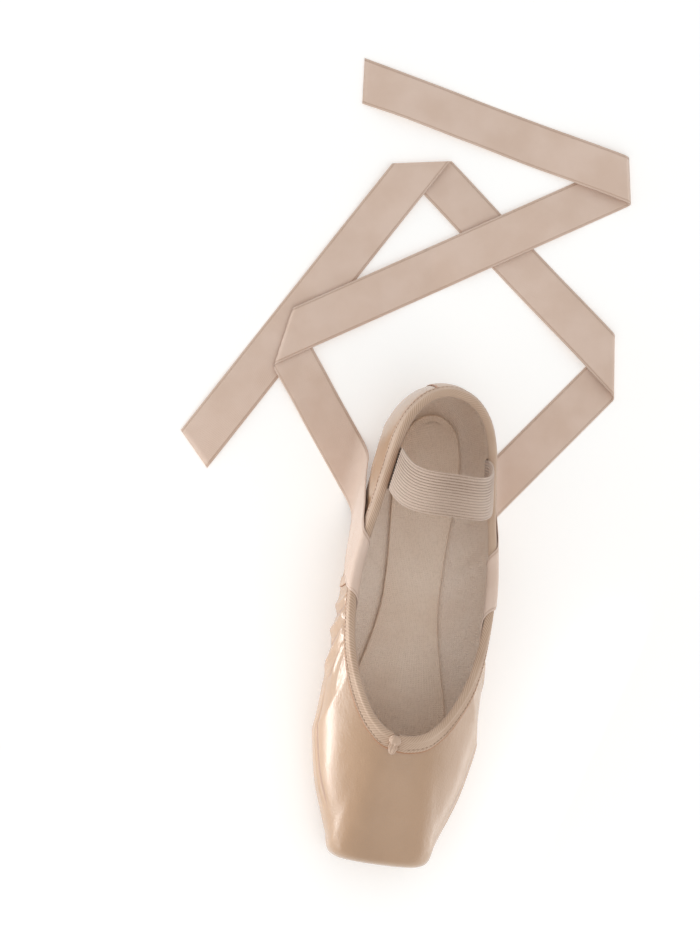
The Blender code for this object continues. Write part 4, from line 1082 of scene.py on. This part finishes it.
stitch_share = (np.arange(stitch_count) + 0.5) / stitch_count
stitch_spots = on_seam(stitch_share)
stitch_ways = on_seam((stitch_share + 0.002) % 1.0) - on_seam((stitch_share - 0.002) % 1.0)
down_here = np.broadcast_to((0.0, 0.0, -1.0), stitch_spots.shape)
waxed_thread = thread_finish("waxed_thread", linear(226, 208, 178), linear(190, 164, 130))
sole_stitches = stitches("sole_stitches", stitch_spots, stitch_ways, down_here, SOLE_STITCH_SIZE,
                         waxed_thread)
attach(sole_stitches, "root")
# Dark flat eggs at the awl holes between the stitches: painted shade that stands in for the holes
dark = Finish("awl_hole_shade", linear(40, 24, 12), 0.9)
dark.colour(dark.blend(dark.noise(dark.place((900.0, 900.0, 900.0))), linear(30, 18, 10), linear(58, 36, 20)))
hole_share = np.arange(stitch_count) / stitch_count
hole_spots = on_seam(hole_share)
hole_ways = on_seam((hole_share + 0.002) % 1.0) - on_seam((hole_share - 0.002) % 1.0)
awl_hole_shade_eggs = stitches("sole_awl_hole_shades", hole_spots, hole_ways, down_here, AWL_HOLE_SIZE, dark.material)
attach(awl_hole_shade_eggs, "root")

# The insole.
# A thin board covered in canvas, lying on the upper's turned-in lip and rounded off at its edge.
INSOLE_THICKNESS = 0.0020
INSOLE_INSET = 0.0010


def insole_under(y):
    """Height of the insole's underside, on the box's full wall."""
    return body_base(y) + BOX_WALL + CLEARANCE


sock_canvas = canvas_finish("insole_canvas", linear(243, 222, 203), linear(249, 231, 214))
insole_insets = tuple(INSOLE_INSET + extra for extra in (0.0, 0.0002, 0.0007, 0.0015, 0.0030))
insole = outline_plate("insole_sock", insole_insets, (0.0008, 0.0003, 0.0001, 0.0, 0.0), insole_under,
                       INSOLE_THICKNESS, sock_canvas)
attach(insole, "root")
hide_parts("insole")

# The elastic strap.
# Ribbed elastic, of covered rubber cords held by cross threads, sewn inside both sides of the heel. It stands
# over the opening as a hoop and is held by nothing else.
ELASTIC_WIDTH = 0.0200
ELASTIC_THICKNESS = 0.0010
ELASTIC_PLACE = 0.1930
ELASTIC_SEWN = 0.0220
ELASTIC_RISE = 0.0540
ELASTIC_SPREAD = 0.0090
ELASTIC_LEAN = 0.0120
RIB_COUNT = 15
WEBBING_RIB = 0.00022


def elastic_points(share):
    """The strap's middle surface: up the lining to the rim on both sides, then a cubic hoop between them."""
    middle = row_at("rim station", ELASTIC_PLACE)
    ends = row_at("rim station", ELASTIC_PLACE + ELASTIC_WIDTH / 2.0) - middle
    seated = QUARTER_WALL + 2.0 * CLEARANCE + ELASTIC_THICKNESS / 2.0
    past_roll = QUARTER_WALL / 2.0 + ROLL_RADIUS + CLEARANCE + ELASTIC_THICKNESS
    below = np.array([ELASTIC_SEWN, 0.7 * ELASTIC_SEWN, BINDING_INSIDE, 0.3 * BINDING_INSIDE, -ROLL_RISE])
    out = -np.array([seated, seated, past_roll, past_roll, past_roll])
    steps = np.linspace(0.0, 4.0, 33)
    below, out = (np.interp(steps, range(5), a) for a in (below, out))
    right = off_skin(middle + ends * share, below[None, :], out[None, :]).transpose(1, 0, 2)
    left = right * np.array((-1.0, 1.0, 1.0))
    u = np.linspace(0.0, 1.0, 121)[1:-1, None]
    reach = right[-1, :, 0] + ELASTIC_SPREAD
    bow = 3.0 * u * (1.0 - u)
    x = -right[-1, :, 0] * ((1.0 - u) ** 3 - u**3) - reach * bow * (1.0 - 2.0 * u)
    z = right[-1, :, 2] + ELASTIC_RISE / 0.75 * bow
    flat_y = right[-1, :, 1].mean() - ELASTIC_LEAN + share * ELASTIC_WIDTH / 2.0
    y = right[-1, :, 1] + (flat_y - right[-1, :, 1]) * ease(bow / 0.75)
    return np.concatenate((left, np.stack((x, y, z), axis=-1), right[::-1]), axis=0)


def ribbed(points):
    """Moves the strap's middle surface in and out in RIB_COUNT ribs along it, flat at both edges."""
    across_strap = np.linspace(0.0, 1.0, points.shape[1])
    along = np.gradient(points, axis=0)
    sideways = np.gradient(points, axis=1)
    normal = np.cross(along, sideways)
    normal /= np.linalg.norm(normal, axis=-1, keepdims=True)
    height = WEBBING_RIB * np.cos(2.0 * np.pi * RIB_COUNT * across_strap) * ease(8.0 * across_strap)
    return points + normal * (height * ease(8.0 * (1.0 - across_strap)))[None, :, None]


def webbing_finish():
    """Ribbed elastic: covered rubber cords side by side, with the cross threads that hold them."""
    made = Finish("elastic_webbing", linear(178, 152, 134), 0.7, sheen_weight=0.3, sheen_roughness=0.5)
    run, up, _ = made.add("SeparateXYZ", {0: made.place(cloth=True)}).outputs
    cord = made.math("COSINE", made.math("MULTIPLY", up, 2.0 * math.pi * RIB_COUNT / ELASTIC_WIDTH))
    tie = made.math("COSINE", made.math("MULTIPLY", run, 2.0 * math.pi / 0.0011))
    fibres = made.noise(made.place((1900.0, 1900.0, 1900.0)), 2.0)
    tone = made.blend(made.spread(cord, -1.0, 0.6), linear(158, 131, 112), linear(196, 172, 154))
    made.colour(made.blend(made.spread(fibres, 0.45, 0.65, 0.0, 0.3), tone, linear(214, 194, 178)))
    made.bump(((tie, 0.00004), (fibres, 0.00006)))
    return made.material


elastic = surface("elastic_hoop", ribbed(elastic_points(np.linspace(-1.0, 1.0, 91))), webbing_finish(),
                  rise=ELASTIC_WIDTH)
thicken(elastic, ELASTIC_THICKNESS - WEBBING_RIB, 0.0)
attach(elastic, "root")
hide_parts("elastic_strap")

# The ribbons.
# Two double-faced satin ribbons with woven edges, sewn inside the quarters. They come out over the binding
# and lie down on the floor, on the same route as the solids, with two soft folds each and their ends cut off.
RIBBON_WIDTH = 0.0220
RIBBON_LENGTH = 0.5200
RIBBON_THICKNESS = 0.0005
RIBBON_PLACE = 0.1420
RIBBON_SEWN = 0.0200
RIBBON_GAP = 0.0004
RIBBON_SLACK = 0.0003
SEAM_DEPTH = 0.0135
OVER_BINDING = 0.0105
KEPT_TO_SKIN = 0.0320
LEAVES_SKIN = 0.0140
LEAVING_LENGTH = 0.0220
FLOOR_GAP = 0.0002
FLOOR_BEND = 0.0090
FOLD_RADIUS = 0.0016
CROSSING_RISE = 0.0020
CROSSING_REACH = 0.0200
WAVE_HEIGHT = 0.0012
WAVE_LENGTH = 0.0900
FIRST_HEADING = 45.0
FOLDS = {
    "ribbon_left": ((0.178, -50.0), (0.368, 86.0)),
    "ribbon_right": ((0.190, -44.0), (0.332, -142.0)),
}
SIDES = {"ribbon_left": -1.0, "ribbon_right": 1.0}
SIDE_LINE_START = 0.0008
SIDE_LINE_SLOPE = 0.135
END_SLANT = 0.3
ROW_GAP = 0.003
RIBBON_CLOTH = 0.0004
ACROSS_RIBBON = 13


def ribbon_profile():
    """How the ribbon passes the rim, as depth below it and distance out: up the lining, over the roll and
    down the outside. The third array is the ribbon's own length along it, 0 at the top of the roll."""
    half = RIBBON_THICKNESS / 2.0
    lining = -(QUARTER_WALL + 2.0 * CLEARANCE + half)
    inner_leg = lining - TAPE - CLEARANCE
    radius = ROLL_RADIUS + RIBBON_GAP + half
    centre = -QUARTER_WALL / 2.0
    arc = np.radians(np.linspace(200.0, -20.0, 9))
    below = [RIBBON_SEWN, SEAM_DEPTH, BINDING_INSIDE, 0.4 * BINDING_INSIDE]
    out = [lining, lining, inner_leg, inner_leg - RIBBON_SLACK]
    below += [-ROLL_RISE - radius * math.sin(a) for a in arc]
    out += [centre + radius * math.cos(a) for a in arc]
    outer_leg = CLEARANCE + TAPE + RIBBON_GAP + half
    below += [0.35 * OVER_BINDING, OVER_BINDING, (OVER_BINDING + KEPT_TO_SKIN) / 2.0, KEPT_TO_SKIN]
    out += [outer_leg + RIBBON_SLACK, outer_leg, outer_leg, outer_leg]
    below, out = np.array(below), np.array(out)
    length = np.concatenate(([0.0], np.hypot(np.diff(below), np.diff(out)).cumsum()))
    return below, out, length - length[8]


def fold_lines(name):
    """Each fold's length along the ribbon, the heading before it and its line's normal."""
    def way(heading):
        """A heading in degrees as a step in the ribbon's plane."""
        return np.array((math.cos(math.radians(heading)), math.sin(math.radians(heading))))

    heading = FIRST_HEADING
    found = []
    for length, new_heading in FOLDS[name]:
        turned = way(heading) - way(new_heading)
        found.append((length, way(heading), turned / np.linalg.norm(turned)))
        heading = new_heading
    return found


def ribbon_points(name, u, v):
    """The ribbon's middle surface, for lengths u along it and v across it: a flat strip, turned over on
    itself at each fold, wrapped over the rim and bent onto the floor."""
    heading = math.radians(FIRST_HEADING)
    start = ribbon_profile()[2][0] / math.sin(heading)
    run = np.array((math.cos(heading), math.sin(heading)))
    spot = (u + start)[..., None] * run + v[..., None] * np.array((run[1], -run[0]))
    lift = np.zeros(u.shape)
    centre, before = start * run, 0.0
    for length, run, normal in fold_lines(name):
        centre = centre + run * (length - before)
        before = length
        over = (spot - centre) @ normal
        later = (u > length - RIBBON_WIDTH) & (over > 0.0)
        roll = np.pi * FOLD_RADIUS
        on_roll = np.clip(over, 0.0, roll) / FOLD_RADIUS
        back = np.where(over < roll, FOLD_RADIUS * np.sin(on_roll), roll - over)
        spot = np.where(later[..., None], spot + (back - over)[..., None] * normal, spot)
        settle = 1.0 - ease((u - length - 0.7 * RIBBON_WIDTH) / (2.0 * RIBBON_WIDTH))
        lift = lift + np.where(later, FOLD_RADIUS * (1.0 - np.cos(on_roll)) * settle, 0.0)
    return wrapped_over_rim(spot, lift, u, SIDES[name], FOLDS[name][0][0] - RIBBON_WIDTH)


def wrapped_over_rim(spot, lift, u, side, laid):
    """Takes points of the ribbon's plane over the rim, down the side and onto the floor. Past the length laid
    the ribbon lies on the floor wherever its folds take it."""
    back, over = spot[..., 0], spot[..., 1]
    on_floor = u > laid
    below, out, length = ribbon_profile()
    rows = np.linspace(0.0, LAST, 20 * LAST + 1)
    stations = np.maximum.accumulate(section_corners(rows)[-1][:, 1]) + LENGTH / 2.0
    at = np.interp(RIBBON_PLACE + back, stations, rows)
    near = (over < LEAVES_SKIN + LEAVING_LENGTH) & ~on_floor
    skin = np.zeros((*spot.shape[:2], 3))
    near_below = np.interp(over[near], length, below)[:, None]
    near_out = np.interp(over[near], length, out)[:, None]
    skin[near] = off_skin(side * at[near], near_below, near_out)[:, 0]
    half = RIBBON_THICKNESS / 2.0
    floor_gap = half + FLOOR_GAP
    top = COLLAR_HEIGHT + ROLL_RISE + ROLL_RADIUS
    drop = top - floor_gap - FLOOR_BEND
    arc = np.clip((over - drop) / FLOOR_BEND, 0.0, np.pi / 2.0)
    z = floor_gap + np.where(over < drop, top - floor_gap - over, FLOOR_BEND * (1.0 - np.sin(arc)))
    z = np.where(on_floor, floor_gap, z)
    flat = over - drop - FLOOR_BEND * np.pi / 2.0
    e = FLOOR_BEND * (1.0 - np.cos(arc)) + np.clip(flat, 0.0, None)
    e = np.where(on_floor, FLOOR_BEND + flat, e)
    slope = math.atan(SIDE_LINE_SLOPE)
    widest = np.interp(RIBBON_PLACE / LENGTH, COLUMNS["place"], COLUMNS["width"])
    start_x = widest * body_half_width(RIBBON_PLACE) + SIDE_LINE_START + CLEARANCE + half
    x = start_x - back * math.sin(slope) + e * math.cos(slope)
    y = RIBBON_PLACE - LENGTH / 2.0 + back * math.cos(slope) + e * math.sin(slope)
    wave = WAVE_HEIGHT * ease((u - laid) / WAVE_LENGTH) * np.sin(np.pi * u / WAVE_LENGTH) ** 2
    hanging = np.stack((side * x, y, z + lift + wave), axis=-1)
    blend = np.where(on_floor, 1.0, ease((over - LEAVES_SKIN) / LEAVING_LENGTH))[..., None]
    return skin * (1.0 - blend) + hanging * blend


def raised_over(points, other):
    """Lifts a ribbon over another that lies on the floor, from the other's middle points and heights."""
    gap = np.linalg.norm(points[:, :, None, :2] - other[None, None, :, :2], axis=-1)
    near = ease((RIBBON_WIDTH + CROSSING_REACH - gap.min(axis=2)) / CROSSING_REACH)
    height = other[gap.argmin(axis=2), 2] + CROSSING_RISE
    low = ease((FLOOR_BEND + height - points[..., 2]) / FLOOR_BEND)
    lift = np.clip(height - points[..., 2], 0.0, None) * near * low
    return points + lift[..., None] * np.array((0.0, 0.0, 1.0))


def ribbon_rows(name):
    """The rows of points along a ribbon: where each crosses the middle, and how far it slants. Rows lie level
    where the ribbon passes the rim and the floor, and along the fold line at each fold."""
    heading = math.radians(FIRST_HEADING)
    length = ribbon_profile()[2]
    drop = COLLAR_HEIGHT + ROLL_RISE + ROLL_RADIUS - FLOOR_BEND
    down = np.linspace(length[-1], drop, 6)[1:]
    bend = drop + FLOOR_BEND * np.pi / 2.0 * np.linspace(0.0, 1.0, 9)[1:]
    rows = [((over - length[0]) / math.sin(heading), 1.0 / math.tan(heading))
            for over in np.concatenate((length, down, bend))]
    for turned_over, (place, run, normal) in enumerate(fold_lines(name)):
        ahead = normal @ run
        aside = (-1.0) ** turned_over * normal @ np.array((run[1], -run[0]))
        roll = np.pi * FOLD_RADIUS * np.linspace(0.0, 1.0, 13)
        for over in (-0.012, -0.004, *roll, 0.010, 0.020):
            rows.append((place + over / ahead, -aside / ahead))
    rows.append((RIBBON_LENGTH, END_SLANT))
    middle, slant = np.array(rows).T
    spare = [np.linspace(a, b, int((b - a) / ROW_GAP) + 2)[1:-1] for a, b in zip(middle, middle[1:])]
    every = np.sort(np.concatenate((middle, *spare)))
    return every, np.interp(every, middle, slant)


laid = {}
for name in ("ribbon_right", "ribbon_left"):
    middle, slant = ribbon_rows(name)
    v = np.linspace(-0.5, 0.5, ACROSS_RIBBON) * RIBBON_WIDTH
    u = middle[:, None] + slant[:, None] * v
    laid[name] = ribbon_points(name, u, np.broadcast_to(v, u.shape))
on_floor = laid["ribbon_right"].mean(axis=1)
laid["ribbon_left"] = raised_over(laid["ribbon_left"], on_floor[on_floor[:, 2] < FLOOR_BEND])


def ribbon_finish():
    """Double-faced ribbon: fine cross ribs, a soft even gloss and a firm woven line along both edges."""
    made = Finish("ribbon_satin", linear(226, 200, 182), 0.45, sheen_weight=0.35, sheen_roughness=0.4,
                  coat_weight=0.15, coat_roughness=0.4)
    run, up, _ = made.add("SeparateXYZ", {0: made.place(cloth=True)}).outputs
    from_edge = made.math("MINIMUM", up, made.math("SUBTRACT", RIBBON_WIDTH, up))
    from_selvedge = made.math("ABSOLUTE", made.math("SUBTRACT", from_edge, 0.0010))
    selvedge = made.spread(from_selvedge, 0.00015, 0.0004, 1.0, 0.0)
    weft = made.math("COSINE", made.math("MULTIPLY", run, 2.0 * math.pi / 0.00055))
    warp = made.noise(made.place((260.0, 2600.0, 1.0), cloth=True), 2.0)
    clouds = made.noise(made.place((50.0, 50.0, 50.0)), 3.0)
    tone = made.blend(made.spread(clouds, 0.30, 0.70), linear(223, 196, 177), linear(230, 205, 188))
    made.colour(made.blend(made.math("MULTIPLY", selvedge, 0.50), tone, linear(192, 156, 130)))
    made.roughness(made.spread(warp, 0.3, 0.7, 0.40, 0.52))
    made.bump(((selvedge, -0.00012), (weft, 0.00003), (warp, 0.00004), (clouds, 0.00012)))
    return made.material


ribbon_satin = ribbon_finish()
for name, points in laid.items():
    ribbon = surface(name + "_satin", points, ribbon_satin, rise=RIBBON_WIDTH)
    thicken(ribbon, RIBBON_CLOTH, 0.0)
    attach(ribbon, "root")
    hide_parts(name)
